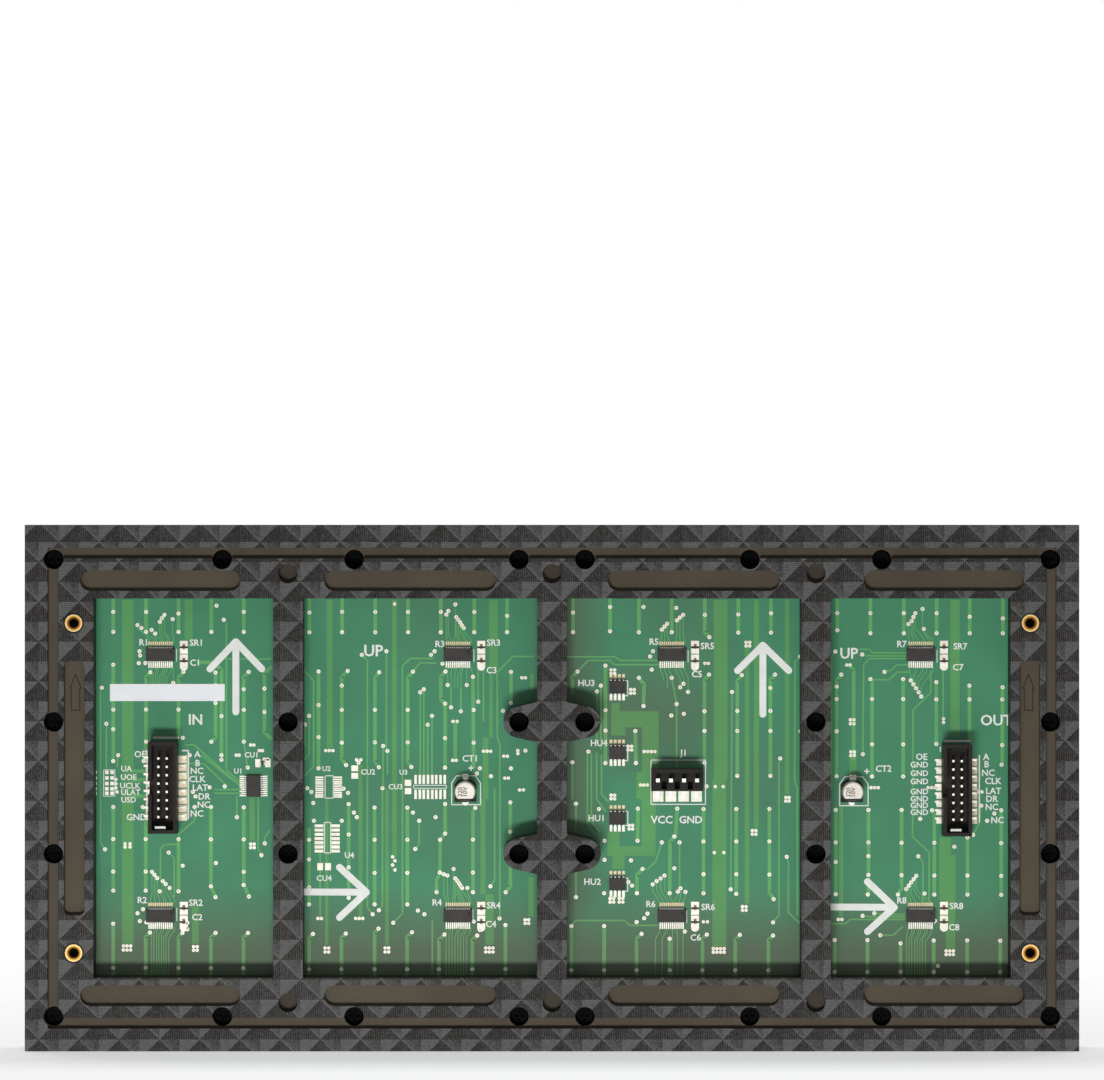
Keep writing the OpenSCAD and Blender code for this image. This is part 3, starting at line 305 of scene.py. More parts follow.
    (0.3, (-110.3, 123.5), (-110.3, 124.4), (-109.7, 126), (-109.7, 130.3)),
    (0.3, (-111.7, 123.5), (-111.7, 124.4), (-110.2, 126.8), (-110.2, 131.5)),
    (0.3, (-113.7, 123.5), (-113.7, 124.4), (-110.8, 128.2), (-110.8, 132.7)),
    (0.3, (-115, 123.5), (-115, 124.4), (-113, 127.4), (-113, 134)),
    (0.3, (-116.3, 123.5), (-116.3, 124.4), (-113.4, 127.1), (-113.4, 127.9)),
    (0.3, (-109, 116.1), (-109, 115.2), (-109.4, 113.9), (-109.4, 112.2)),
    (0.3, (-111, 116.1), (-111, 115.2), (-110.2, 113.4), (-110.2, 111)),
    (0.3, (-113, 116.1), (-113, 115.2), (-111, 112.2), (-111, 109.8)),
    (0.3, (-114.3, 116.1), (-114.3, 115.2), (-111.8, 111.7), (-111.8, 108.6)),
    (0.3, (-116.3, 116.1), (-116.3, 115.2), (-112.6, 110.5), (-112.6, 107.3)),
    (0.3, (-108.4, 43.6), (-108.4, 44.5), (-108, 45.9), (-108, 48.6)),
    (0.3, (-109.7, 43.6), (-109.7, 44.5), (-108.8, 46.4), (-108.8, 49.6)),
    (0.3, (-111, 43.6), (-111, 44.5), (-109.5, 47), (-109.5, 50.6)),
    (0.3, (-113, 43.6), (-113, 44.5), (-110.3, 48.2), (-110.3, 51.6)),
    (0.3, (-114.4, 43.6), (-114.4, 44.5), (-111.1, 48.7), (-111.1, 52.6)),
    (0.3, (-115.7, 43.6), (-115.7, 44.5), (-113.6, 46.4), (-113.6, 47.2)),
    (0.3, (-108.4, 36.2), (-108.4, 35.2), (-108.1, 34), (-108.1, 21.4)),
    (0.3, (-109.7, 36.2), (-109.7, 35.2), (-108.9, 33.5), (-108.9, 21.4)),
    (0.3, (-110.4, 36.2), (-110.4, 35.2), (-109.7, 33.7), (-109.7, 21.4)),
    (0.3, (-111.7, 36.2), (-111.7, 35.2), (-110.6, 33.2), (-110.6, 21.4)),
    (0.3, (-112.4, 36.2), (-112.4, 35.2), (-111.4, 33.3), (-111.4, 21.4)),
    (0.3, (-113.7, 36.2), (-113.7, 35.2), (-112.2, 32.8), (-112.2, 21.4)),
    (0.3, (-114.4, 36.2), (-114.4, 35.2), (-113, 33), (-113, 21.4)),
    (0.3, (-115.7, 36.2), (-115.7, 35.2), (-113.9, 32.5), (-113.9, 21.4)),
)
# Through-holes with a land: middle
HOLES = (
    (133.8, 133.1), (133.8, 127), (133.8, 117), (133.8, 103.3), (133.8, 97.3), (133.8, 87.6), (133.8, 73.6),
    (133.8, 63.8), (133.8, 53.9), (133.8, 48.1), (133.8, 38), (133.8, 24.5), (123.8, 133.1), (123.8, 127),
    (122.5, 114.7), (123.8, 103.3), (123.8, 93.5), (124.5, 87.6), (124.8, 73.6), (123.9, 63.8),
    (123.9, 53.9), (123.9, 48.1), (122.6, 35.3), (123.9, 24.5), (113.9, 132.6), (113.9, 127),
    (112.4, 114.8), (113.9, 103.3), (112.6, 94.7), (113.9, 63.8), (113.9, 47.9), (112.6, 55.7),
    (112.7, 35.2), (113.9, 24.5), (103.9, 127), (102.3, 135), (102.6, 114.6), (102.6, 110.7),
    (102.6, 105.3), (103.9, 93.5), (104, 73.6), (104, 63.7), (104, 49.4), (102.6, 46.1), (102.5, 56.5),
    (102.6, 35.2), (104, 24.4), (100.8, 101.3), (100.8, 89.4), (100.8, 88), (94, 133.1), (94, 127),
    (92.5, 114.8), (94, 109.5), (94, 103.2), (94, 93.5), (92.8, 85.6), (94, 73.5), (94, 63.7), (94, 53.8),
    (94, 49.8), (92.4, 46.3), (92.7, 35.2), (94.1, 24.4), (87.7, 109.7), (87.7, 102.6), (100.1, 130.7),
    (137.3, 110), (136.3, 60.7), (135.9, 99), (132.3, 89.4), (109, 73.6), (116.9, 59.7), (96.1, 70.5),
    (87.6, 62.5), (88.6, 58.9), (110.5, 89.4), (109.5, 78.2), (108.7, 76.8), (104.4, 79.6), (99.8, 79.9),
    (126.4, 129.1), (125.2, 128.2), (122.1, 127.6), (121, 126.5), (119.6, 130.1), (119, 131.2),
    (118.2, 132.2), (115.7, 130.9), (125.8, 121.1), (125.6, 119.8), (126, 117.5), (124, 117.5),
    (115.5, 111.4), (119, 110.5), (122, 53.8), (121.2, 52.9), (120.4, 51.9), (118.7, 51), (117.8, 50.1),
    (116.6, 48.9), (119.6, 47.9), (124.7, 42.4), (126.4, 41.2), (125.7, 38.8), (123.7, 38.4), (111.2, 38.3),
    (111.2, 36.3), (74, 132.9), (74, 126.9), (71.2, 114.9), (71.2, 104.7), (71.2, 94.9), (71.2, 85.4),
    (64, 133.1), (64, 126.9), (62.3, 115.1), (64.1, 110.6), (64.1, 103.2), (64.1, 93.2), (62.8, 86.4),
    (53.9, 133.1), (53.9, 126.9), (52.7, 114.7), (54, 103.2), (54, 93.3), (52.8, 85.7), (43.9, 133.1),
    (43.9, 126.9), (42.4, 114.9), (44, 103.2), (44, 93.3), (42.9, 85.8), (33.9, 133.1), (33.9, 126.9),
    (32.5, 114.9), (32.6, 105.1), (32.6, 94.6), (32.6, 85.6), (23.7, 133.1), (23.7, 126.9), (24.1, 113.3),
    (23.9, 103.2), (23.9, 93.2), (13.7, 131.9), (13.7, 126.9), (12.5, 114.8), (12.5, 105.3), (14.9, 102.9),
    (58, 120), (50.5, 121.1), (40.2, 108.6), (39.1, 109.5), (37.9, 98.7), (36.6, 101.4), (51.5, 92.2),
    (50.2, 90.7), (22.5, 105.7), (74.1, 101.4), (75.3, 98.8), (35.8, 121.1), (36.9, 120), (33.4, 117.3),
    (31.8, 110.8), (26, 110.8), (30.8, 104), (27.8, 102.8), (59, 87.1), (22, 85.4), (22.9, 83.8),
    (18.6, 83), (12.5, 85.4), (8.1, 90.8), (74.1, 63.6), (74.1, 57.6), (74.1, 49.1), (74.1, 43.9),
    (72.9, 34.9), (74.1, 24.1), (62, 74.5), (62, 65.2), (62, 55.2), (62, 45.9), (62.9, 35), (64.2, 24.1),
    (54.1, 73.4), (54.1, 63.6), (54.1, 53.5), (54.1, 43.9), (52.8, 42.1), (51.7, 79.3), (52.9, 36.5),
    (54.1, 24.1), (44.1, 73.4), (44.1, 63.6), (44.1, 53.5), (44.1, 43.9), (42.7, 35.4), (44.2, 24.1),
    (42.4, 71.9), (40.5, 69.4), (41.7, 60.8), (35.5, 70.5), (32.6, 74.5), (32.6, 65.5), (34.1, 63.6),
    (34.2, 53.6), (35.2, 47.6), (23.4, 73.3), (24.1, 63.6), (24.1, 53.6), (24.1, 47.6), (40.9, 42),
    (38.9, 40.9), (32.8, 34.7), (34.5, 24.1), (22.8, 34.4), (24.3, 24.1), (23.9, 38.7), (22, 36.1),
    (16, 39.6), (18.8, 49.4), (12.7, 75), (12.7, 66), (14.1, 47.6), (14.2, 37.6), (14.2, 24.1),
    (63.6, 79.2), (62.2, 77.9), (60.4, 71.9), (59.5, 70.5), (74.6, 79.3), (73.4, 78.2), (72.8, 74.8),
    (72.6, 69.4), (64.1, 69.4), (48.4, 38.3), (54.7, 40.9), (31.6, 133.4), (32.2, 132.3), (29.5, 135.4),
    (29.2, 131.5), (28.6, 130.7), (28, 129.9), (27.5, 129), (26.9, 128.2), (33, 53.1), (31.9, 52.7),
    (30, 54.7), (29.5, 51.8), (28.9, 51.1), (28.4, 50.4), (27.9, 49.6), (27.4, 48.9), (25.8, 48.9),
    (-6.4, 132.9), (-6.4, 126.9), (-17.7, 134.6), (-17.7, 127.2), (-26.5, 126.9), (-27.9, 134.6),
    (-36.5, 126.9), (-37.9, 134.3), (-46.6, 132.2), (-48, 125.4), (-56.8, 132.3), (-56.8, 126.8),
    (-66.8, 132.7), (-66.8, 126.8), (-16.3, 116.7), (-16.3, 103.1), (-16.3, 96.9), (-16.3, 87),
    (-47.9, 114), (-46.5, 102.8), (-46.5, 96.8), (-46.5, 87), (-57.9, 113.8), (-56.5, 102.9), (-56.5, 96.8),
    (-56.5, 83.1), (-68, 114), (-66.6, 109.9), (-66.6, 102.9), (-66.6, 96.8), (-66.6, 83.1), (-7.8, 114.9),
    (-46.2, 73), (-46.2, 63.1), (-46.2, 53.1), (-46.2, 47.3), (-56.2, 73), (-56.2, 63.1), (-56.2, 53.1),
    (-56.2, 47.1), (-66.3, 73), (-66.3, 63.1), (-66.3, 53), (-67.6, 45.5), (-5.9, 37.3), (-15.9, 37.3),
    (-27.3, 34.9), (-35.9, 33.4), (-47.2, 34.7), (-57.3, 34.6), (-67.4, 34.4), (-5.9, 23.8), (-15.9, 23.8),
    (-25.8, 23.8), (-35.9, 23.8), (-45.9, 23.8), (-55.9, 23.8), (-66, 23.8), (-30.8, 121.1), (-29.9, 119.5),
    (-30.4, 115.5), (-36.5, 113), (-38, 105), (-40.1, 111.2), (-39.1, 110.1), (-41.5, 108.7),
    (-36.4, 101.5), (-40.2, 102), (-26.5, 113), (-27.9, 104.4), (-29.1, 41.1), (-28.1, 39.7), (-25.8, 38.5),
    (-40.5, 35.6), (-14.9, 110.6), (-13.7, 108.8), (-25.4, 96.8), (-25.6, 87), (-11.1, 90.5), (-6.2, 87.2),
    (-7.3, 74.6), (-14.3, 73), (-26.2, 73.1), (-26.1, 63.3), (-16, 63.3), (-16, 57.5), (-24.1, 57.3),
    (-27.6, 54.7), (-25.9, 47.3), (-33.5, 62.8), (-37.3, 64.6), (-35.9, 47.3), (-38.2, 73.1), (-38.9, 62.8),
    (-37.3, 54.9), (-7.3, 46.1), (-15.9, 47.3), (-23.3, 50.7), (-24.4, 49.6), (-54.9, 108.7), (-54.5, 48.5),
    (-69.6, 88.4), (-67.4, 38.4), (-75.7, 119.5), (-75.8, 96.7), (-71.6, 58.4), (-47.1, 79.9),
    (-33.5, 127.7), (-34.3, 128.6), (-35.1, 129.5), (-38.1, 130.5), (-39, 131.4), (-40, 132.2), (-30.7, 50),
    (-31.9, 51), (-33.1, 51.8), (-34.3, 52.7), (-38.4, 47.8), (-39.2, 48.8), (-40.7, 47.7), (-87, 132.7),
    (-87, 127.5), (-88.2, 114), (-86.8, 110.3), (-86.8, 106.5), (-86.8, 96.7), (-86.8, 83), (-97.1, 132.7),
    (-97.1, 126.6), (-97.1, 112.6), (-97.6, 106.5), (-97.6, 92.7), (-97.6, 82.9), (-107.3, 132.7),
    (-107.3, 126.6), (-107.1, 112.6), (-107.1, 106.5), (-107.1, 92.7), (-107.1, 82.9), (-117.3, 132.7),
    (-117.3, 126.6), (-117.2, 111.7), (-117.2, 106.4), (-117.2, 92.8), (-127.4, 131.6), (-127.4, 126.6),
    (-127.3, 110.6), (-127.3, 106.4), (-137.5, 131.1), (-137.5, 126.6), (-137.4, 110.1), (-137.3, 106.4),
    (-137.3, 92.5), (-137.1, 86.5), (-86.5, 72.7), (-86.5, 62.8), (-86.5, 56.8), (-86.5, 47), (-96.5, 72.7),
    (-96.5, 62.8), (-96.5, 58.6), (-96.5, 52.9), (-96.3, 46.9), (-106.6, 72.7), (-106.6, 62.7),
    (-106.6, 52.8), (-105.5, 46.9), (-115.9, 72.6), (-116.6, 62.7), (-116.6, 52.7), (-116.6, 46.9),
    (-126.7, 64.3), (-126.7, 52.7), (-126.7, 46.9), (-137, 72.6), (-137, 62.6), (-137, 52.6), (-137, 46.8),
    (-86.2, 33), (-96.2, 33), (-106.3, 32), (-116.4, 32.9), (-126.6, 32.9), (-136.7, 32.8), (-86.2, 23.3),
    (-96.2, 23.3), (-106.3, 23.3), (-116.4, 23.3), (-126.6, 23.3), (-136.7, 23.3), (-117.7, 25.1),
    (-94.6, 120.1), (-94.8, 89.7), (-101.4, 114.8), (-94.7, 40.4), (-98.3, 41.2), (-100.1, 34.5),
    (-116.8, 38.9), (-86.4, 121), (-112.3, 70), (-130.9, 74), (-128.4, 65.1), (-134.9, 71.6),
    (-132.7, 69.4), (-113.6, 47.2), (-111.7, 58.6), (-122.7, 61.5), (-108.7, 129.4), (-109.7, 130.3),
    (-110.2, 131.5), (-110.8, 132.7), (-113, 134), (-113.4, 127.9), (-109.4, 112.2), (-110.2, 111),
    (-111, 109.8), (-111.8, 108.6), (-112.6, 107.3), (-108, 48.6), (-108.8, 49.6), (-109.5, 50.6),
    (-110.3, 51.6), (-111.1, 52.6),
)
# Small through-holes in groups: middle
SMALL_HOLES = (
    (130.7, 31.2), (130.7, 30), (129.6, 31.2), (129.6, 30), (128.5, 31.2), (128.5, 30), (109.3, 31),
    (109.3, 29.9), (108.2, 31), (108.2, 29.9), (91.9, 62.3), (91.9, 61.2), (90.8, 62.3), (90.8, 61.2),
    (130.2, 62.4), (128.7, 62.4), (130.2, 61.4), (128.7, 61.4), (91.9, 92.5), (90.9, 92.5), (89.3, 90.8),
    (88.3, 90.8), (96.3, 89.4), (95.4, 89.4), (87.7, 88.2), (86.7, 88.2), (133, 82), (133, 80.7),
    (133, 79.4), (132.6, 78.2), (69, 90.8), (67.9, 90.8), (66.8, 90.8), (48, 135.5), (20.9, 90.6),
    (19.8, 90.6), (18.7, 90.6), (20.2, 30.6), (20.2, 29.4), (19.1, 30.6), (19.1, 29.4), (18, 30.6),
    (18, 29.4), (69.2, 30.6), (69.2, 29.4), (68.1, 30.6), (68.1, 29.4), (59.9, 39.6), (58.8, 39.6),
    (57.7, 39.6), (50.9, 30.6), (50.9, 29.4), (49.8, 30.6), (49.8, 29.4), (8.2, 39.2), (8.2, 38.1),
    (7.1, 39.2), (7.1, 38.1), (9.2, 113), (8.1, 113), (30.3, 87.8), (29.2, 87.8), (71.4, 39.6),
    (70.3, 39.6), (48.6, 58.4), (47.9, 57.2), (48.6, 55.9), (47.9, 54.4), (30.2, 99.7), (28.9, 99.7),
    (59.6, 88), (58.3, 88), (14.7, 89.1), (13.6, 89.1), (10.4, 90.8), (10.4, 89.9), (14.4, 82.4),
    (13.3, 82.4), (9.9, 78.8), (8.7, 78.8), (-49.2, 30.4), (-49.2, 29.3), (-50.3, 30.4), (-50.3, 29.3),
    (-51.4, 30.4), (-51.4, 29.3), (-52.5, 30.4), (-52.5, 29.3), (-59.2, 123.8), (-59.2, 122.7),
    (-60.3, 123.8), (-60.3, 122.7), (-58.1, 43.2), (-58.1, 42.1), (-59.2, 43.2), (-59.2, 42.1),
    (-61.1, 66.4), (-61.1, 65.3), (-62.2, 66.4), (-62.2, 65.3), (-71.3, 76.5), (-71.3, 75.4), (-72.3, 76.5),
    (-72.3, 75.4), (-28.1, 90.5), (-29.2, 90.5), (-30.3, 90.5), (-31.4, 90.5), (-27, 80.3), (-28, 80.3),
    (-29.1, 80.3), (-18, 115.4), (-18, 114.3), (-19.1, 115.4), (-19.1, 114.3), (-24, 109.4), (-24, 108.3),
    (-25.1, 109.4), (-25.1, 108.3), (-23.2, 92.1), (-23.2, 91), (-24.3, 92.1), (-24.3, 91), (-18, 77.2),
    (-18, 76.1), (-19.1, 77.2), (-19.1, 76.1), (-23.5, 68), (-23.5, 66.9), (-24.6, 68), (-24.6, 66.9),
    (-17.7, 45.7), (-17.7, 44.6), (-18.8, 45.7), (-18.8, 44.6), (-20.5, 45.7), (-20.5, 44.6), (-21.6, 45.7),
    (-21.6, 44.6), (-49.5, 59.7), (-52.4, 59.7), (-49.8, 79.8), (-52.2, 79.8), (-46.6, 117.4),
    (-47.7, 117.4), (-46.2, 38.6), (-47.4, 38.6), (-87.3, 39.3), (-88.4, 39.3), (-120.2, 29.7),
    (-120.2, 28.6), (-121.3, 29.7), (-121.3, 28.6), (-122.4, 29.7), (-122.4, 28.6), (-91, 100.2), (-91, 99),
    (-92.1, 100.2), (-92.1, 99), (-91.1, 90.4), (-91.1, 89.3), (-92.2, 90.4), (-92.2, 89.3), (-97.3, 79.5),
    (-98.4, 79.5), (-99.5, 79.5), (-114.7, 79.5), (-115.8, 79.5), (-116.9, 79.5), (-130, 78.2),
    (-131.1, 78.2), (-119.4, 100.5), (-119.4, 99.4), (-89.9, 116.9), (-90.9, 116.9),
)
# Top width of a land, and widths of the bores, as shares of the land
LAND_TAPER, BORE_SHARE, SMALL_BORE_SHARE = 0.9, 0.26, 0.18
# Bare pads: middle, width and height
PADS = (
    (122.95, 88.15, 1.7, 2.1), (-118.35, 87.25, 2.3, 2.1), (122.95, 85.65, 1.7, 2.1),
    (-118.35, 84.75, 2.3, 2.1), (122.95, 83.1, 1.7, 2), (-118.35, 82.25, 2.3, 2.1), (122.95, 80.6, 1.7, 2),
    (-118.35, 79.65, 2.3, 2.1), (122.95, 78.1, 1.7, 2), (-118.35, 77.15, 2.3, 2.1), (122.95, 75.6, 1.7, 2),
    (-118.35, 74.65, 2.3, 2.1), (122.95, 73.1, 1.7, 2), (-118.35, 72.1, 2.3, 2), (122.95, 70.55, 1.7, 2.1),
    (-118.35, 69.55, 2.3, 2.1), (70.95, 82.65, 2.5, 0.5), (65.25, 82.65, 2.5, 0.5),
    (70.95, 81.95, 2.5, 0.5), (65.25, 81.95, 2.5, 0.5), (70.95, 81.25, 2.5, 0.5), (65.25, 81.25, 2.5, 0.5),
    (70.95, 80.65, 2.5, 0.5), (65.25, 80.65, 2.5, 0.5), (70.95, 79.95, 2.5, 0.5), (65.25, 79.95, 2.5, 0.5),
    (70.95, 79.25, 2.5, 0.5), (65.25, 79.25, 2.5, 0.5), (70.95, 78.65, 2.5, 0.5), (65.25, 78.65, 2.5, 0.5),
    (70.95, 77.95, 2.5, 0.5), (65.25, 77.95, 2.5, 0.5), (70.95, 77.25, 2.5, 0.5), (65.25, 77.25, 2.5, 0.5),
    (70.95, 76.65, 2.5, 0.5), (65.25, 76.65, 2.5, 0.5), (41.6, 82, 0.8, 2.8), (41.6, 77.45, 0.8, 2.9),
    (40.3, 82, 0.8, 2.8), (40.3, 77.45, 0.8, 2.9), (39.1, 82, 0.8, 2.8), (39.1, 77.45, 0.8, 2.9),
    (37.8, 82, 0.8, 2.8), (37.8, 77.45, 0.8, 2.9), (36.5, 82, 0.8, 2.8), (36.5, 77.45, 0.8, 2.9),
    (35.3, 82, 0.8, 2.8), (35.3, 77.45, 0.8, 2.9), (34, 82, 0.8, 2.8), (34, 77.45, 0.8, 2.9),
    (32.7, 82, 0.8, 2.8), (32.7, 77.45, 0.8, 2.9), (71.05, 67.85, 2.7, 0.9), (66, 67.85, 2.6, 0.9),
    (71.05, 66.55, 2.7, 0.9), (66, 66.55, 2.6, 0.9), (71.05, 65.25, 2.7, 0.9), (66, 65.25, 2.6, 0.9),
    (71.05, 63.95, 2.7, 0.9), (66, 63.95, 2.6, 0.9), (71.05, 62.7, 2.7, 1), (66, 62.7, 2.6, 1),
    (71.05, 61.4, 2.7, 1), (66, 61.4, 2.6, 1), (71.05, 60.15, 2.7, 0.9), (66, 60.15, 2.6, 0.9),
    (60.15, 83.1, 2.1, 1.8), (60.15, 85.4, 2.1, 1.8), (43.9, 80.95, 2, 1.9), (43.9, 78.45, 2, 1.9),
    (70.7, 55.4, 1.8, 2.2), (68.3, 55.4, 1.8, 2.2), (135.75, 84.15, 1.1, 1.1), (134.15, 84.15, 1.1, 1.1),
    (139.25, 84.15, 0.9, 0.9), (135.75, 82.45, 1.1, 1.1), (134.15, 82.45, 1.1, 1.1),
    (139.25, 82.45, 0.9, 0.9), (135.75, 80.75, 1.1, 1.1), (134.15, 80.75, 1.1, 1.1),
    (139.25, 80.8, 0.9, 0.8), (135.75, 79.15, 1.1, 1.1), (134.15, 79.15, 1.1, 1.1),
    (139.25, 79.15, 0.9, 0.9), (135.75, 77.75, 1.1, 1.1), (134.15, 77.75, 1.1, 1.1),
    (139.25, 77.75, 0.9, 0.9), (89.7, 86.95, 1.6, 2.5), (86.65, 86.95, 1.7, 2.5), (26.4, 82.85, 1.8, 1.7),
    (-91.75, 82.3, 2.1, 2.2), (-32.35, 77.15, 3.3, 3.9), (-36.25, 77.15, 3.3, 3.9),
    (-40.15, 77.15, 3.3, 3.9), (-44.05, 77.15, 3.3, 3.9),
)
# Soldered header pads of a browner cast: middle, width and height
TAN_PADS = (
    (113.1, 88.15, 3.6, 2.3), (-128.55, 87.25, 2.3, 2.3), (113.1, 85.6, 3.6, 2.2),
    (-128.55, 84.75, 2.3, 2.3), (113.1, 83.1, 3.6, 2.2), (-128.55, 82.25, 2.3, 2.3),
    (113.1, 80.6, 3.6, 2.2), (-128.55, 79.7, 2.3, 2.2), (113.1, 78.1, 3.6, 2.2), (-128.55, 77.15, 2.3, 2.3),
    (113.1, 75.6, 3.6, 2.2), (-128.55, 74.65, 2.3, 2.3), (113.1, 73.1, 3.6, 2.2), (-128.55, 72.1, 2.3, 2.2),
    (113.1, 70.55, 3.6, 2.3), (-128.55, 69.55, 2.3, 2.3),
)
# Printed lines: width, then the points of the line
PRINT_LINES = (
    (0.5, (123.6, 90.8), (123.6, 70.4)), (0.45, (112.7, 90.8), (110.9, 90.8), (110.9, 70.1), (112.7, 70.1)),
    (0.6, (121.5, 94.7), (113.9, 94.7)), (0.5, (114.2, 70.1), (114.2, 66.4)), (1, (120.9, 67), (116.9, 67)),
    (0.6, (-119.7, 93.7), (-127.4, 93.7)), (1, (-120.7, 66.1), (-125.2, 66.1)),
    (0.45, (-130.3, 89.3), (-130.3, 68.9)),
    (0.25, (69.2, 83.1), (66.7, 83.1), (66.7, 76.3), (69.2, 76.3), (69.2, 83.1)),
    (0.25, (42.2, 80.2), (32.2, 80.2), (32.2, 79.3), (42.2, 79.3), (42.2, 80.2)),
    (0.3, (69.4, 68.9), (67.5, 68.9), (67.5, 59.6), (69.4, 59.6), (69.4, 68.9)),
    (0.3, (30.6, 80.9), (29.1, 83.1), (23.3, 83.1), (21.8, 80.9), (21.8, 74.3), (30.6, 74.3), (30.6, 80.9)),
    (0.3, (-87.7, 80.6), (-89.3, 82.8), (-94.8, 82.8), (-96.4, 80.6), (-96.4, 74), (-87.7, 74),
     (-87.7, 80.6)), (0.3, (-30.2, 87.9), (-46.8, 87.9), (-46.8, 74.4), (-30.2, 74.4), (-30.2, 87.9)),
    (0.3, (-22.3, 112.1), (-23.1, 112.1), (-23.1, 107.5), (-22.3, 107.5)),
    (0.3, (-22.3, 92.2), (-23.1, 92.2), (-23.1, 87.7), (-22.3, 87.7)),
    (0.3, (-22.3, 72.3), (-23.1, 72.3), (-23.1, 68), (-22.3, 68)),
    (0.3, (-22.3, 51.9), (-23.1, 51.9), (-23.1, 47.9), (-22.3, 47.9)),
    (0.2, (136.7, 84.9), (133.3, 84.9), (133.3, 76.9), (136.7, 76.9), (136.7, 84.9)),
    (0.22, (114.5, 121.8), (114.5, 118.1)), (0.22, (114.4, 42.7), (114.4, 38.9)),
    (0.22, (23.8, 121.6), (23.8, 117.9)), (0.22, (24.1, 42.5), (24.1, 38.8)),
    (0.22, (-41.5, 121.4), (-41.5, 117.7)), (0.22, (-41.1, 42), (-41.1, 38.3)),
    (0.22, (-117.4, 121.4), (-117.4, 117.7)), (0.22, (-116.7, 41.7), (-116.7, 38)),
)
# Printed marks: text, middle and letter height
LABELS = (
    ("R1", 124.5, 123.7, 1.9), ("SR1", 108.4, 123.6, 1.9), ("C1", 108.8, 117.5, 1.9),
    ("IN", 108.7, 100.1, 3.1), ("OE", 125.6, 89.6, 1.9), ("A", 108.1, 89.6, 1.9), ("B", 108.1, 86.9, 1.9),
    ("NC", 108.3, 84.5, 1.9), ("CLK", 108.2, 82, 1.9), ("LAT", 107.3, 79.4, 1.9), ("DR", 106.1, 76.7, 1.9),
    ("NC", 106.2, 74.2, 1.9), ("NC", 108.3, 71.5, 1.9), ("UA", 129.8, 85.2, 1.7), ("UOE", 129.1, 82.6, 1.7),
    ("UCLK", 128.7, 80, 1.7), ("ULAT", 128.5, 78, 1.7), ("USD", 129.1, 75.7, 1.7),
    ("GND", 126.7, 70.4, 1.9), ("U1", 95.7, 84.5, 1.55), ("CU1", 91.6, 89.4, 1.6), ("R2", 125, 45.1, 1.9),
    ("SR2", 108.6, 44.3, 1.9), ("C2", 108.2, 39.9, 1.9), ("UP", 54.5, 121.1, 3.4), ("R3", 34.2, 123.2, 1.9),
    ("SR3", 17.8, 123.6, 1.9), ("C3", 18.4, 115.2, 1.9), ("R4", 35.1, 44.4, 1.9), ("SR4", 17.8, 43.5, 1.9),
    ("C4", 18.6, 37.8, 1.9), ("U2", 68.8, 85.2, 1.5), ("CU2", 56.1, 84.2, 1.6), ("U3", 45.3, 84.1, 1.5),
    ("CU3", 47.7, 79.7, 1.6), ("U4", 61.8, 58.8, 1.7), ("CU4", 69.5, 51.8, 1.7), ("CT1", 24.9, 88.3, 1.9),
    ("+", 24.7, 85.3, 2.2), ("R5", -31.1, 123.9, 1.9), ("SR5", -47.4, 122.6, 1.9), ("C5", -44.2, 114, 1.9),
    ("R6", -30.1, 43.9, 1.9), ("SR6", -47.6, 43, 1.9), ("C6", -43.8, 33.7, 1.9), ("HU3", -10.5, 111.3, 1.9),
    ("HU4", -14.3, 93, 1.9), ("HU1", -13.6, 70.1, 1.9), ("HU2", -12.3, 50.7, 1.9), ("J1", -40.2, 90, 1.9),
    ("VCC", -33.5, 69.6, 2.3), ("GND", -42.3, 69.6, 2.2), ("R7", -106.6, 123.2, 1.9),
    ("SR7", -124.5, 122.5, 1.9), ("C7", -123.8, 116.1, 1.9), ("R8", -106.6, 45, 1.9),
    ("SR8", -123.3, 43.3, 1.9), ("C8", -122.6, 36.8, 1.9), ("UP", -90.5, 120.3, 3.2),
    ("OUT", -135.5, 99.9, 3.2), ("1", -118.4, 91.1, 1.5), ("A", -132.4, 88.8, 1.9),
    ("B", -132.5, 86.5, 1.9), ("NC", -133, 83.9, 1.9), ("CLK", -134.5, 81.4, 1.9),
    ("LAT", -134.6, 78.4, 1.9), ("DR", -134.1, 76, 1.9), ("NC", -134.1, 73.5, 1.9),
    ("NC", -135.8, 69.5, 1.9), ("OE", -112.7, 88.8, 1.9), ("CT2", -101.1, 85.2, 1.9), ("+", -96, 84.3, 2.2),
    ("GND", -112, 86.4, 1.7), ("GND", -112, 83.8, 1.7), ("GND", -112, 81.3, 1.7), ("GND", -112, 78.2, 1.7),
    ("GND", -112, 76, 1.7), ("GND", -112, 74, 1.7), ("GND", -112, 71.9, 1.7),
)
# Capitals as a share of the letter size, and growth of the strokes as a share of the letter height
CAPITAL_SHARE, STROKE_GROWTH = 0.7, 0.03
# Printed arrows: tail, tip and the ends of the two barbs
ARROWS = (
    ((96.4, 102.6), (96.4, 124), (104.3, 115.7), (88.5, 115.7)),
    ((-64.3, 101.9), (-64.3, 122.9), (-56.6, 115.2), (-72.2, 115.2)),
    ((77.6, 47.7), (56.6, 47.6), (64.8, 55.2), (64.8, 39.9)),
    ((-84.3, 43.1), (-104.4, 43), (-96.2, 50.8), (-96.2, 35.6)),
)
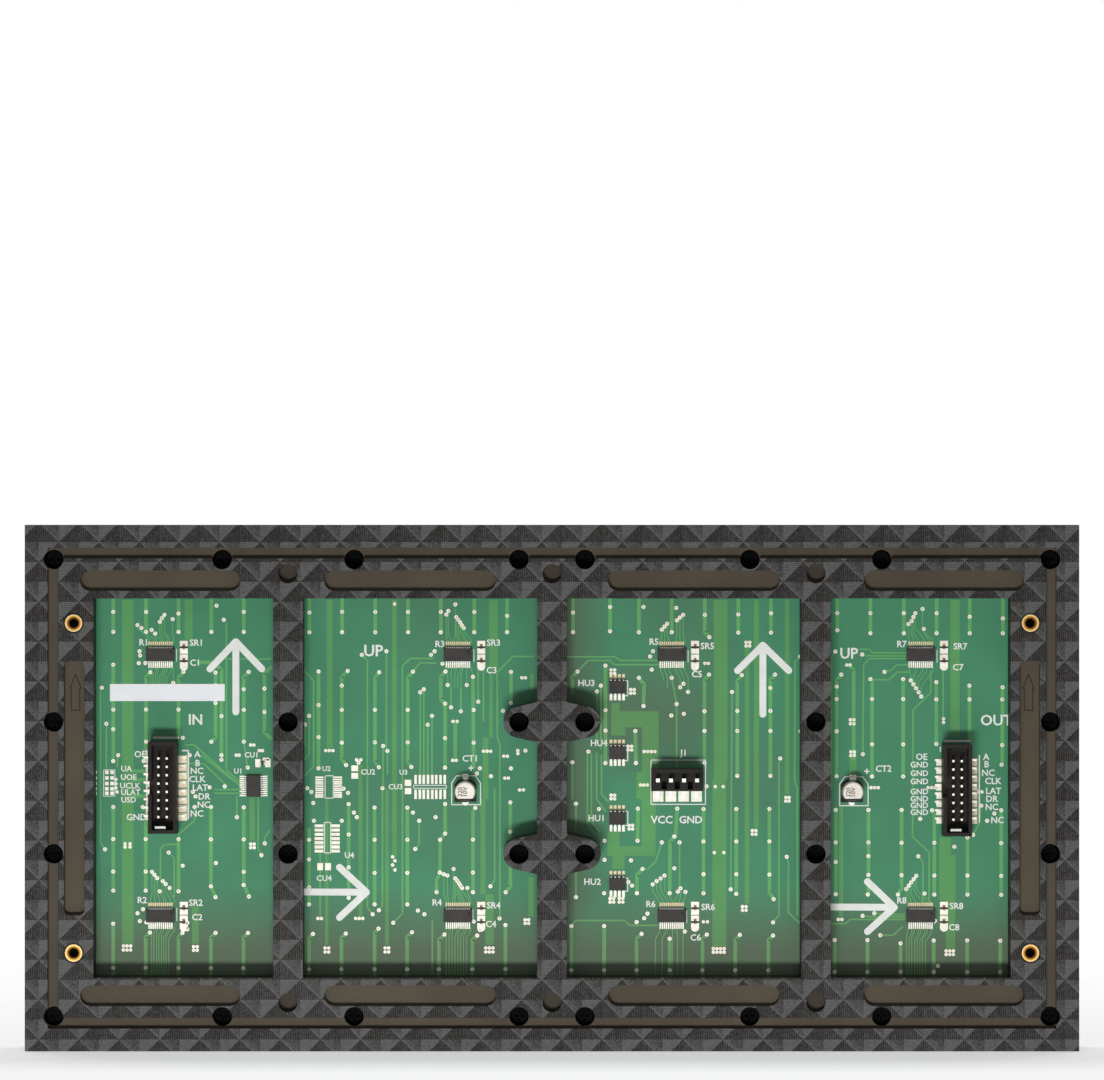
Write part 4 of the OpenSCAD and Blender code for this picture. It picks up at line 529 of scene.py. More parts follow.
# Packages with leads on two sides: middle, half the span of the feet, leads a side, pitch, and whether
# the leads stand in rows along X
DRIVER_LEADS, SWITCH_LEADS = 12, 4
DRIVER_X, DRIVER_Z = (119.4, 28.7, -36.5, -112.4), (120, 40.4)
PACKAGES = (
    *((x, z, 2.8, DRIVER_LEADS, 0.635, True) for x in DRIVER_X for z in DRIVER_Z),
    *((-19.9, z, 2.8, SWITCH_LEADS, 1.27, True) for z in (110.1, 90.1, 70.1, 50.1)),
    (91, 80, 3.05, 10, 0.65, False),
)
# Half the width of a package with some room
PACKAGE_HALF = 5.0
# Upper-lead bands of painted shadow and painted tan reflection: height over the package's middle, half the
# width, colour and share
LEAD_SHADE_BANDS = ((2.62, 0.36, (0.085, 0.055, 0.02), 0.85), (3.5, 0.5, (0.8, 0.62, 0.34), 0.6))
# Pads under leads: length, width as a share of the pitch, and reach past the feet
LEAD_PAD, LEAD_PAD_SHARE, LEAD_PAD_OUT = 1.9, 0.66, 0.25
# Pin-one dimples of the drivers: place from the package's middle, and width
DIMPLE_PLACE, DIMPLE_WIDTH = (-3.4, 0.8), 0.85

# Chips beside the drivers: columns, rise over the driver's middle, and whether the lower pad has a round end
CHIP_X, CHIP_RISES = (112.27, 21.58, -43.62, -119.53), ((2.3, False), (-1.9, True))
CHIPS = tuple((x, round(z + rise, 2), rounded)
              for x in CHIP_X for z in DRIVER_Z for rise, rounded in CHIP_RISES)
# Chip pads: size, distance from the chip's middle, and distance of the round end
CHIP_PAD, CHIP_PAD_OFF, CHIP_ROUND_OFF = (2.45, 1.7), 1.14, 1.7
# Dark plate of painted shade between a chip's pads, partly the chip's body: size
CHIP_GAP = (2.35, 0.56)
# Chip: half the height of its core, and middle and half the height of the band of painted brown shade on its
# upper end
CHIP_CORE, CHIP_TOP, CHIP_TOP_HALF = 0.42, 0.65, 0.24
# The chip that lies level beside the buffer: its place along X
BUFFER_CHIP = 88.3

# Capacitor cans: middle
CANS = ((26.4, 78.5), (-91.4, 78.4))
# On the cans: texts and their places from the middle, drop of the dark sector's edge, foot's width and drop
CAN_RATINGS, RATING_HEIGHT = (("220", 1.45), ("10V", -0.05)), 1.35
CAN_SECTOR = 2.0
CAN_FOOT, CAN_FOOT_DROP = 1.95, 3.5

# Pale ledges of painted highlight inside the lower ends of the header shrouds: middle, size and height
PALE_LEDGE_HIGHLIGHTS, LEDGE, LEDGE_HEIGHT = ((118.9, 67.75), (-122.6, 66.95)), (3.3, 0.75), 0.3
# Power socket: places of its pins along X, then level and size of their feet and of the dark plates of
# painted shade in the notches between
POWER_PINS = (-44.04, -40.08, -36.12, -32.16)
POWER_FOOT, POWER_PAD = 76.6, (1.5, 2.2)
POWER_NOTCH, NOTCH, NOTCH_HEIGHT = 80.3, (1.56, 2.26), 0.04
# Solder at the feet of an LED: place from its middle, and size
LED_FOOT_OFF, LED_FOOT = (1.75, 0.85), (0.55, 0.75)

# Arrow outline in the floors of the side slots: X from the slot's middle, and Z
SLOT_ARROW = ((0, 114.1), (1.7, 110.0), (1.28, 110.0), (1.28, 103.3), (-1.28, 103.3), (-1.28, 110.0),
              (-1.7, 110.0), (0, 114.1))
SLOT_ARROW_X, SLOT_STROKE, SLOT_RELIEF = 144.6, 0.24, 0.15
# Upright ribs of the mask: length, height, and drop of their middle below the LED's
DIVIDER_LENGTH, DIVIDER_HEIGHT, DIVIDER_DROP = 6.6, 0.35, 0.6

# Plain finishes by slot or use: material, colour, roughness, grain scale, metallic, spread of tone, gloss
FINISHES = {
    "black_steel": ("black_steel_finish", (0.0021, 0.0021, 0.0021), 0.6, 400.0, 0.0, 0.3, 0.03),
    "connector_plastic": ("connector_finish", (0.022, 0.02, 0.018), 0.5, 120.0, 0.0, 0.2, 0.08),
    "gilt_pins": ("gilt_finish", (0.93, 0.88, 0.76), 0.22, 500.0, 0.8, 0.12, 0.2),
    "package_plastic": ("package_finish", (0.044, 0.04, 0.038), 0.5, 300.0, 0.0, 0.15, 0.15),
    "label_paper": ("paper_finish", (0.9, 0.92, 0.95), 0.8, 200.0, 0.0, 0.03, 0.2),
    "bore": ("bore_finish", (0.2, 0.13, 0.06), 0.5, 600.0, 0.0, 0.3, 0.2),
    # Near-black plates of painted shade on the floors of the power socket's notches
    "recess": ("recess_finish", (0.005, 0.004, 0.004), 0.7, 300.0, 0.0, 0.2, 0.02),
    "rating_ink": ("rating_ink_finish", (0.16, 0.13, 0.09), 0.6, 300.0, 0.0, 0.2, 0.2),
    # Also the dark plates of painted shade between the chips' pads
    "dimple": ("dimple_and_gap_shade_finish", (0.028, 0.023, 0.021), 0.6, 300.0, 0.0, 0.2, 0.15),
    "divider": ("divider_finish", (0.018, 0.018, 0.02), 0.5, 300.0, 0.0, 0.3, 0.06),
}

# Lamps, in metres and watts: name, place, width, depth and power
LAMPS = (("key", (0.12, 1.3, -0.47), 0.5, 0.15, 13.0), ("broad", (0.0, 0.75, -0.87), 1.0, 0.6, 3.0),
         ("top", (0.1, 0.8, 1.6), 1.2, 1.2, 3.0), ("face", (0.1, -1.3, -0.4), 0.8, 0.4, 22.0),
         ("floor", (0.0, -0.35, 1.4), 1.4, 0.3, 8.0))
LAMP_AIM = (0.0, BACK_FACE * MM, 0.08)
# Floor, in metres: half its side, where it starts to fade and over what length
FLOOR_HALF, FLOOR_FADE_FROM, FLOOR_FADE = 0.6, 0.2, 0.2
FLOOR_GLOW, SKY_LIGHT = 0.45, 0.12
CAMERA_PLACE, CAMERA_LENS, CAMERA_SENSOR = (0, 1.654, 0.155), 177, 36


class DisplaySizes(bpy.types.PropertyGroup):
    """Sizes of the finish details"""
    copper: FloatProperty(name="Copper height", description="Height of the copper lines over the board",
                          default=0.03 * MM, unit="LENGTH")
    layer: FloatProperty(name="Layer step", description="Height between lines that cross",
                         default=0.002 * MM, unit="LENGTH")
    land: FloatProperty(name="Land", description="Width of the land round a through-hole",
                        default=1.32 * MM, unit="LENGTH")
    small_land: FloatProperty(name="Small land", description="Width of the land round a small through-hole",
                              default=1.12 * MM, unit="LENGTH")
    tin: FloatProperty(name="Tin height", description="Height of tinned lands and pads over the board",
                       default=0.1 * MM, unit="LENGTH")
    ink: FloatProperty(name="Ink height", description="Height of the white print over the board",
                       default=0.12 * MM, unit="LENGTH")
    arrow: FloatProperty(name="Arrow stroke", description="Width of the strokes of the printed arrows",
                         default=2.1 * MM, unit="LENGTH")
    row: FloatProperty(name="Grain row", description="Height of a row of the back's moulded grain",
                       default=6.03 * MM, unit="LENGTH")
    wedge: FloatProperty(name="Grain wedge", description="Width of a wedge of the back's moulded grain",
                         default=12.2 * MM, unit="LENGTH")
    hatch: FloatProperty(name="Hatch", description="Distance between the fine lines of the grain",
                         default=0.55 * MM, unit="LENGTH")
    rib: FloatProperty(name="Mask rib", description="Distance between the fine ribs of the mask",
                       default=0.68 * MM, unit="LENGTH")
    divider: FloatProperty(name="Divider", description="Width of the upright ribs between the LEDs",
                           default=0.3 * MM, unit="LENGTH")


class DisplayColours(bpy.types.PropertyGroup):
    """Colours of the finish"""
    # The back's tone runs from frame_dark to frame_light and holds real grain and a painted sheen of the
    # hatch
    frame_dark: FloatVectorProperty(name="Frame, dark", description="Dark wedges of the back's grain",
                                    subtype="COLOR", default=(0.0085, 0.007, 0.0055))
    frame_light: FloatVectorProperty(name="Frame, light", description="Light wedges of the back's grain",
                                     subtype="COLOR", default=(0.122, 0.12, 0.12))
    frame_floor: FloatVectorProperty(name="Frame floors", description="Smooth floors of slots and grooves",
                                     subtype="COLOR", default=(0.082, 0.066, 0.045))
    mask: FloatVectorProperty(name="Mask", description="Black plastic of the mask",
                              subtype="COLOR", default=(0.005, 0.005, 0.0055))
    board: FloatVectorProperty(name="Board", description="Green solder mask over laminate",
                               subtype="COLOR", default=(0.061, 0.251, 0.134))
    copper: FloatVectorProperty(name="Copper", description="Green solder mask over copper",
                                subtype="COLOR", default=(0.104, 0.334, 0.114))
    tin: FloatVectorProperty(name="Tin", description="Tinned lands and pads",
                             subtype="COLOR", default=(0.92, 0.86, 0.74))
    ink: FloatVectorProperty(name="Ink", description="White print",
                             subtype="COLOR", default=(0.86, 0.88, 0.84))
    led: FloatVectorProperty(name="LED", description="White LED package",
                             subtype="COLOR", default=(0.86, 0.86, 0.84))
    floor: FloatVectorProperty(name="Floor", description="Pale floor",
                               subtype="COLOR", default=(0.9, 0.9, 0.9))


# Mesh helpers

def bar(bm, start, end, width, base, height):
    """Adds a flat strip from one point of the board to another."""
    run = Vector(end) - Vector(start)
    middle = (Vector(start) + Vector(end)) / 2
    place = Matrix.Translation((middle.x * MM, base + height / 2, middle.y * MM))
    turn = Matrix.Rotation(-math.atan2(run.y, run.x), 4, "Y")
    size = Matrix.Diagonal((run.length * MM, height, width, 1))
    bmesh.ops.create_cube(bm, size=1, matrix=place @ turn @ size)


def disc(bm, centre, width, base, height, segments=12, top_width=None):
    """Adds a flat round plate that faces out of the board's back, and gives its corners."""
    place = Matrix.Translation((centre[0] * MM, base + height / 2, centre[1] * MM))
    turn = Matrix.Rotation(-math.pi / 2, 4, "X")
    return bmesh.ops.create_cone(bm, cap_ends=True, segments=segments, radius1=width / 2,
                                 radius2=(top_width or width) / 2, depth=height,
                                 matrix=place @ turn)["verts"]


def path(bm, points, width, base, height, step):
    """Adds a strip along a line of points, round at its bends and ends."""
    for start, end in zip(points, points[1:]):
        bar(bm, start, end, width, base, height)
    for point in points:
        disc(bm, point, width, base, height - step)


def faces_of(verts):
    """The faces that meet at some corners."""
    return {face for vert in verts for face in vert.link_faces}


def outer_face(verts):
    """The face of a new shape that looks furthest out of the board's back."""
    return max(faces_of(verts), key=lambda face: face.calc_center_median().y)


def land(bm, centre, width, bore, base, height):
    """Adds a through-hole: a tinned land with a dark bore."""
    top_width = width * LAND_TAPER
    top = outer_face(disc(bm, centre, width, base, height, top_width=top_width))
    bmesh.ops.inset_individual(bm, faces=[top], thickness=(top_width - bore) / 2, depth=0)
    top.material_index = 1


def plate(bm, centre, size, base, height, bevel=0.0, index=0):
    """Adds a rectangular pad, its size in millimetres, its upper edges broken by a bevel."""
    spread = Matrix.Diagonal((size[0] * MM, height, size[1] * MM, 1))
    place = Matrix.Translation((centre[0] * MM, base + height / 2, centre[1] * MM))
    verts = bmesh.ops.create_cube(bm, size=1, matrix=place @ spread)["verts"]
    for face in faces_of(verts):
        face.material_index = index
    if bevel:
        edges = list(outer_face(verts).edges)
        bmesh.ops.bevel(bm, geom=edges, offset=bevel, offset_type="OFFSET", affect="EDGES", segments=1,
                        profile=0.5, material=-1)


def letters(bm, text, centre, height, base, extrude, upward=False):
    """Adds a printed mark that reads from behind, level or upwards."""
    curve = bpy.data.curves.new("mark", "FONT")
    curve.body = text
    curve.align_x, curve.align_y = "CENTER", "CENTER"
    curve.size = height * MM / CAPITAL_SHARE
    curve.offset = height * MM * STROKE_GROWTH
    curve.extrude = extrude
    curve.resolution_u = 2
    holder = bpy.data.objects.new("mark", curve)
    mesh = bpy.data.meshes.new_from_object(holder)
    across, up = ((0, 1), (1, 0)) if upward else ((-1, 0), (0, 1))
    mesh.transform(Matrix(((*across, 0, centre[0] * MM), (0, 0, 1, base), (*up, 0, centre[1] * MM),
                           (0, 0, 0, 1))))
    bm.from_mesh(mesh)
    bpy.data.meshes.remove(mesh)
    bpy.data.objects.remove(holder)
    bpy.data.curves.remove(curve)


def piece(name, bm, slot, *materials):
    """Makes an object of a finished mesh and lets it ride on the module."""
    if not bm.faces:
        raise RuntimeError("no faces in " + name)
    mesh = bpy.data.meshes.new(name)
    bm.to_mesh(mesh)
    bm.free()
    obj = bpy.data.objects.new(name, mesh)
    bpy.context.scene.collection.objects.link(obj)
    for material in materials:
        mesh.materials.append(material)
    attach(obj, "root")


# Material helpers

def shade(colour, factor):
    """The colour made lighter or darker."""
    return tuple(min(1.0, channel * factor) for channel in colour)


class Nodes:
    """Short way to build one node material."""

    def __init__(self, name):
        self.material = bpy.data.materials.new(name)
        self.material.use_nodes = True
        self.tree = self.material.node_tree
        self.shader = self.tree.nodes["Principled BSDF"]
        self.place = self.add("ShaderNodeTexCoord").outputs["Object"]

    def add(self, kind, **settings):
        """A new node with some of its settings."""
        node = self.tree.nodes.new(kind)
        for key, value in settings.items():
            setattr(node, key, value)
        return node

    def put(self, socket, value):
        """Links a socket to an input, or sets the input to a plain value."""
        if isinstance(value, bpy.types.NodeSocket):
            self.tree.links.new(value, socket)
        else:
            socket.default_value = value

    def math(self, operation, first, second=0.0, clamp=False):
        """One step of arithmetic."""
        node = self.add("ShaderNodeMath", operation=operation, use_clamp=clamp)
        self.put(node.inputs[0], first)
        self.put(node.inputs[1], second)
        return node.outputs[0]

    def fold(self, operation, values):
        """Several values put together, two at a time."""
        total, *rest = values
        for value in rest:
            total = self.math(operation, total, value)
        return total

    def plus(self, *values):
        return self.fold("ADD", values)

    def times(self, *values):
        return self.fold("MULTIPLY", values)

    def most(self, *values):
        return self.fold("MAXIMUM", values)

    def minus(self, first, second, clamp=False):
        return self.math("SUBTRACT", first, second, clamp)

    def over(self, first, second, clamp=False):
        return self.math("DIVIDE", first, second, clamp)

    def below(self, value, limit):
        return self.math("LESS_THAN", value, limit)

    def above(self, value, limit):
        return self.math("GREATER_THAN", value, limit)

    def size(self, value):
        return self.math("ABSOLUTE", value)

    def square(self, value):
        return self.math("POWER", value, 2.0)

    def cycle(self, value, length):
        """Place within a repeat of some length, from -0.5 to 0.5."""
        return self.minus(self.math("FRACT", self.over(value, length)), 0.5)

    def parts(self, vector):
        """The three values of a vector."""
        node = self.add("ShaderNodeSeparateXYZ")
        self.put(node.inputs[0], vector)
        return tuple(node.outputs)

    def axes(self):
        """The place on the module along X, Y and Z."""
        return self.parts(self.place)

    def facing(self):
        """The direction that the surface looks in, along X, Y and Z."""
        return self.parts(self.add("ShaderNodeNewGeometry").outputs["Normal"])

    def off(self, value, *places):
        """Distance of a coordinate from the nearest of some places, which are given in millimetres."""
        return self.fold("MINIMUM", [self.size(self.minus(value, spot * MM)) for spot in places])

    def reach(self, first, second):
        """Length of the slanting side over two distances."""
        return self.math("SQRT", self.plus(self.square(first), self.square(second)))

    def noise(self, scale, detail=3.0):
        """Soft noise over the place on the module."""
        node = self.add("ShaderNodeTexNoise")
        self.put(node.inputs["Vector"], self.place)
        node.inputs["Scale"].default_value = scale
        node.inputs["Detail"].default_value = detail
        return node.outputs[0]

    def ramp(self, value, *stops):
        """A colour for each value, from stops of a position and a colour."""
        node = self.add("ShaderNodeValToRGB")
        self.put(node.inputs[0], value)
        elements = node.color_ramp.elements
        while len(elements) < len(stops):
            elements.new(0.5)
        for element, (position, colour) in zip(elements, stops):
            element.position = position
            element.color = (*colour, 1)
        return node.outputs[0]

    def mottle(self, colour, scale, low, high):
        """One colour, unevenly darker and lighter."""
        return self.ramp(self.noise(scale), (0.3, shade(colour, low)), (0.7, shade(colour, high)))

    def choose(self, share, first, second):
        """The first value where the share is 1, the second where it is 0."""
        node = self.add("ShaderNodeMix", data_type="FLOAT")
        self.put(node.inputs[0], share)
        self.put(node.inputs[2], second)
        self.put(node.inputs[3], first)
        return node.outputs[0]

    def blend(self, share, first, second):
        """The second colour laid over the first by a share."""
        node = self.add("ShaderNodeMix", data_type="RGBA")
        self.put(node.inputs[0], share)
        for socket, value in ((node.inputs[6], first), (node.inputs[7], second)):
            self.put(socket, value if isinstance(value, bpy.types.NodeSocket) else (*value, 1))
        return node.outputs[2]

    def bump(self, height, strength, distance, normal=None):
        """Fine relief of the surface."""
        node = self.add("ShaderNodeBump")
        node.inputs["Strength"].default_value = strength
        node.inputs["Distance"].default_value = distance
        self.put(node.inputs["Height"], height)
        if normal:
            self.put(node.inputs["Normal"], normal)
        self.put(self.shader.inputs["Normal"], node.outputs[0])

    def surface(self, colour, roughness, metallic=0.0, specular=0.2):
        """Fills the shader in and gives the material."""
        self.put(self.shader.inputs["Base Color"], colour)
        self.put(self.shader.inputs["Roughness"], roughness)
        self.shader.inputs["Metallic"].default_value = metallic
        self.shader.inputs["Specular IOR Level"].default_value = specular
        return self.material


def grained(name, colour, roughness, scale, metallic, spread, specular):
    """A material with a soft uneven tone."""
    nodes = Nodes(name)
    return nodes.surface(nodes.mottle(colour, scale, 1 - spread, 1 + spread), roughness, metallic, specular)


def from_insert(nodes):
    """Distance from the axis of the nearest insert."""
    x, _, z = nodes.axes()
    level = nodes.size(nodes.minus(z, MIDDLE * MM))
    return nodes.reach(nodes.off(nodes.size(x), INSERT_X), nodes.off(level, INSERT_RISE))


def frame_material(sizes, colours):
    """Dark plastic: hatched wedges moulded into the back face, with painted sheen and edge highlights; smooth
    floors and walls; painted shade on the locating holes' floors and a painted shadow ring round each insert.
    """
    nodes = Nodes("frame_plastic_finish")
    x, y, z = nodes.axes()
    across = nodes.times(x, -1.0)
    rows = nodes.over(nodes.minus(z, GRAIN_FOOT * MM), sizes.row)
    shift = nodes.times(nodes.math("FLOOR", rows), 0.5)
    wedges = nodes.plus(nodes.over(nodes.plus(across, GRAIN_SIDE * MM), sizes.wedge), shift)
    turn = nodes.math("FRACT", wedges)
    flank = nodes.size(nodes.minus(nodes.times(turn, 2.0), 1.0))
    inside = nodes.minus(nodes.math("FRACT", rows), flank)
    light = nodes.above(inside, 0.0)
    left = nodes.below(turn, 0.5)
    slant = nodes.times(nodes.plus(across, z), math.sqrt(0.5))
    lines = nodes.choose(light, nodes.choose(left, slant, z), across)
    hatch = nodes.math("SINE", nodes.times(lines, 2 * math.pi / sizes.hatch))

    # Painted sheen: wedges of the one plastic made lighter or darker by the way their hatch runs, the left
    # ones graded across, and a painted highlight along their edges
    bright = nodes.choose(left, nodes.plus(nodes.times(inside, -0.25), 0.55), 0.72)
    dull = nodes.plus(nodes.times(left, 0.08), 0.16)
    wedge_edge_highlight = nodes.times(nodes.below(nodes.size(nodes.minus(inside, 0.06)), 0.06), left)
    tone = nodes.plus(nodes.choose(light, bright, dull), nodes.times(wedge_edge_highlight, 0.16))
    cloud = nodes.minus(nodes.noise(22.0), 0.5)
    speck = nodes.minus(nodes.noise(1500.0, 2.0), 0.5)
    tone = nodes.plus(nodes.times(tone, 1.3), -0.13, nodes.times(hatch, 0.3), nodes.times(cloud, 0.4),
                      nodes.times(speck, 1.1))
    grain = nodes.ramp(tone, (0.0, colours.frame_dark), (1.0, colours.frame_light))
    # Painted shadow: a dark ring round each insert, partly the gap at its edge
    outline = nodes.below(from_insert(nodes), INSERT_SHADOW_EDGE * MM)
    grain = nodes.blend(nodes.times(outline, 0.8), grain, shade(colours.frame_dark, 0.6))

    outward = nodes.above(nodes.facing()[1], 0.5)
    slots = nodes.times(outward, nodes.above(y, (SLOT_FLOOR - 0.3) * MM))
    # Painted shade: the floors of the deeper locating holes take the floor colour darkened
    locator_floor_shade = nodes.times(outward, nodes.above(y, (SLOT_FLOOR - 1.2) * MM))
    walls = nodes.mottle(colours.frame_dark, 60.0, 0.9, 1.7)
    smooth = nodes.blend(locator_floor_shade, walls, shade(colours.frame_floor, 0.6))
    smooth = nodes.blend(slots, smooth, nodes.mottle(colours.frame_floor, 40.0, 0.85, 1.12))
    on_back = nodes.above(y, (BACK_FACE - 0.03) * MM)
    rounded = nodes.add("ShaderNodeBevel", samples=4)
    rounded.inputs["Radius"].default_value = 0.25 * MM
    nodes.bump(nodes.times(hatch, on_back), 0.25, 0.04 * MM, rounded.outputs[0])
    return nodes.surface(nodes.blend(on_back, smooth, grain), 0.5, specular=0.12)


def mask_material(sizes, colours):
    """Black plastic: fine level ribs on the plate with painted highlights on their crests, painted pale
    highlights on the lips, a painted cool reflection under each visor and painted shade in the lips' notches.
    """
    nodes = Nodes("mask_plastic_finish")
    x, y, z = nodes.axes()
    on_plate = nodes.below(nodes.off(y, PLATE_FRONT), 0.05 * MM)
    wave = nodes.math("SINE", nodes.times(z, 2 * math.pi / sizes.rib))
    ribs = nodes.times(nodes.square(nodes.most(wave, 0.0)), on_plate)
    # Painted highlight: the rib crests are far lighter than the plastic, broken up by noise
    broken = nodes.times(ribs, nodes.plus(nodes.noise(700.0, 1.0), 0.2))
    colour = nodes.blend(broken, nodes.mottle(colours.mask, 60.0, 0.75, 1.25), shade(colours.mask, 33.0))
    # Painted highlight: a pale line along each visor's lip
    lip = nodes.below(y, (VISOR_TIP + 0.35) * MM)
    colour = nodes.blend(nodes.times(lip, 0.8), colour, shade(colours.mask, 12.0))

    # Painted reflection: a cool gleam of the LED on the underside of each visor
    under = nodes.times(nodes.below(nodes.facing()[2], -0.25), nodes.below(y, (PLATE_FRONT - 0.2) * MM))
    beside_led = nodes.size(nodes.cycle(x, PITCH * MM))
    gleam = nodes.minus(1.0, nodes.over(beside_led, LED_REFLECTION_WIDTH), clamp=True)
    colour = nodes.blend(nodes.times(gleam, under), colour, (0.16, 0.18, 0.24))
    side, level = nodes.size(x), nodes.size(nodes.minus(z, MIDDLE * MM))
    for places, height in SCREWS:
        beside, above = nodes.off(side, *places), nodes.off(level, height)
        sink = nodes.below(nodes.reach(beside, above), SINK_MARK * MM)
        colour = nodes.blend(nodes.times(sink, 0.4), colour, (0.03, 0.021, 0.018))
        # Painted shade: the notch in a lip before a screw is near black
        narrow, low = nodes.below(beside, LIP_NOTCH[0] * MM), nodes.below(above, LIP_NOTCH[1] * MM)
        colour = nodes.blend(nodes.times(narrow, low, lip), colour, (0.003, 0.003, 0.003))
    nodes.bump(ribs, 0.5, 0.08 * MM)
    return nodes.surface(colour, 0.48, specular=0.06)


def led_material(colours):
    """White package with a faint lens square, one of them of a warmer cast."""
    nodes = Nodes("led_finish")
    x, _, z = nodes.axes()
    offset = nodes.cycle(x, PITCH * MM)
    level = nodes.size(nodes.cycle(nodes.plus(z, LED_LIFT * MM), PITCH * MM))
    lens = nodes.times(nodes.below(nodes.size(offset), LED_LENS[0]), nodes.below(level, LED_LENS[1]))
    tone = nodes.mottle(colours.led, 90.0, 0.94, 1.04)
    tone = nodes.blend(nodes.times(lens, 0.35), tone, (0.78, 0.74, 0.55))
    marks = nodes.most(*(nodes.times(nodes.below(nodes.size(nodes.minus(offset, middle)), half),
                                     nodes.below(level, rise)) for middle, half, rise in LED_MARKS))
    tone = nodes.blend(nodes.times(marks, 0.4), tone, (0.3, 0.3, 0.3))
    warm = nodes.times(nodes.below(nodes.off(x, WARM_LED[0]), 3 * MM), nodes.above(z, WARM_LED[1] * MM))
    tone = nodes.blend(nodes.times(warm, 0.7), tone, (0.72, 0.52, 0.22))
    return nodes.surface(tone, 0.3)


def brass_material():
    """Turned brass: a bright rim of painted highlight round a browner flank of painted shade, darkest with
    painted shade at the bore.
    """
    nodes = Nodes("brass_finish")
    out = nodes.over(from_insert(nodes), INSERT_RADIUS * MM)
    # Painted light by distance from the insert's axis: shade in the bore and on the flank, a highlight on the
    # rim
    tone = nodes.ramp(out, (0.5, (0.12, 0.05, 0.009)), (0.66, (0.42, 0.2, 0.035)), (0.76, (0.76, 0.45, 0.12)),
                      (0.86, (0.82, 0.65, 0.33)))
    return nodes.surface(tone, nodes.plus(nodes.times(nodes.noise(500.0), 0.2), 0.2), 0.55)


def can_material():
    """Drawn aluminium with a dark sector printed at the foot of its top."""
    nodes = Nodes("can_finish")
    _, y, z = nodes.axes()
    tone = nodes.ramp(nodes.noise(300.0), (0.3, (0.61, 0.58, 0.52)), (0.7, (0.73, 0.69, 0.61)))
    foot = nodes.below(z, (CANS[0][1] - CAN_SECTOR) * MM)
    sector = nodes.times(foot, nodes.above(y, (CAN_TOP - 0.4) * MM))
    return nodes.surface(nodes.blend(sector, tone, (0.03, 0.03, 0.032)), 0.42, 0.3)


def board_material(name, colour, olive, cast):
    """Solder mask, with painted olive shade and reflection near the lower rail, the ears and in soft patches,
    and painted shade in front.
    """
    nodes = Nodes(name)
    x, y, z = nodes.axes()
    # Painted olive shade and reflection: at the lower rail, in noise patches, in a cloud and near an edge
    low = nodes.over(nodes.minus(OLIVE_RAIL * MM, z), OLIVE_RAIL_FADE * MM, clamp=True)
    patch = nodes.math("MULTIPLY", nodes.minus(nodes.noise(16.0, 1.0), 0.52), 2.4, clamp=True)
    (middle_x, middle_z), (half_x, half_z) = OLIVE_CLOUD
    across = nodes.square(nodes.over(nodes.minus(x, middle_x * MM), half_x * MM))
    up = nodes.square(nodes.over(nodes.minus(z, middle_z * MM), half_z * MM))
    cloud = nodes.times(nodes.minus(1.0, nodes.plus(across, up), clamp=True), 0.75)
    edge = nodes.minus(0.9, nodes.over(nodes.off(x, OLIVE_EDGE), OLIVE_EDGE_FADE * MM), clamp=True)
    share = nodes.times(nodes.most(patch, cloud, low, edge), cast)
    tone = nodes.blend(share, nodes.mottle(colour, 55.0, 0.92, 1.08), olive)
    # Painted shade on the board's front under the mask
    front = nodes.below(y, (BOARD_FRONT + 0.05) * MM)
    return nodes.surface(nodes.blend(front, tone, shade(colour, 0.25)), 0.28)


def chip_material():
    """Ceramic chip, tinned at both ends, the upper end browner with painted shade."""
    nodes = Nodes("chip_finish")
    x, _, z = nodes.axes()
    levels = sorted({chip[1] for chip in CHIPS})
    near = nodes.math("MINIMUM", nodes.off(z, *levels), nodes.off(x, BUFFER_CHIP))
    ends = nodes.ramp(nodes.noise(900.0), (0.35, (0.7, 0.66, 0.58)), (0.65, (0.92, 0.9, 0.85)))
    # Painted shade: a brown band on each chip's upper end
    top = nodes.off(z, *(level + CHIP_TOP for level in levels))
    ends = nodes.blend(nodes.below(top, CHIP_TOP_HALF * MM), ends, (0.3, 0.19, 0.08))
    core = nodes.ramp(nodes.noise(900.0), (0.35, (0.03, 0.026, 0.022)), (0.65, (0.06, 0.052, 0.042)))
    return nodes.surface(nodes.blend(nodes.below(near, CHIP_CORE * MM), ends, core), 0.35)


def lead_material(name, colour, roughness, metallic, spread):
    """Tinned metal, with bands of painted shadow and painted tan reflection where the upper leads of a
    package bend down to their pads.
    """
    nodes = Nodes(name)
    x, _, z = nodes.axes()
    tone = nodes.mottle(colour, 700.0, 1 - spread, 1 + spread)
    for count in (SWITCH_LEADS, DRIVER_LEADS):
        places = [package for package in PACKAGES if package[3] == count]
        beside = nodes.below(nodes.off(x, *sorted({package[0] for package in places})), PACKAGE_HALF * MM)
        for rise, half, tint, share in LEAD_SHADE_BANDS:
            bend = nodes.off(z, *sorted({package[1] + rise for package in places}))
            band = nodes.times(nodes.below(bend, half * MM), beside)
            tone = nodes.blend(nodes.times(band, share), tone, tint)
    return nodes.surface(tone, roughness, metallic)


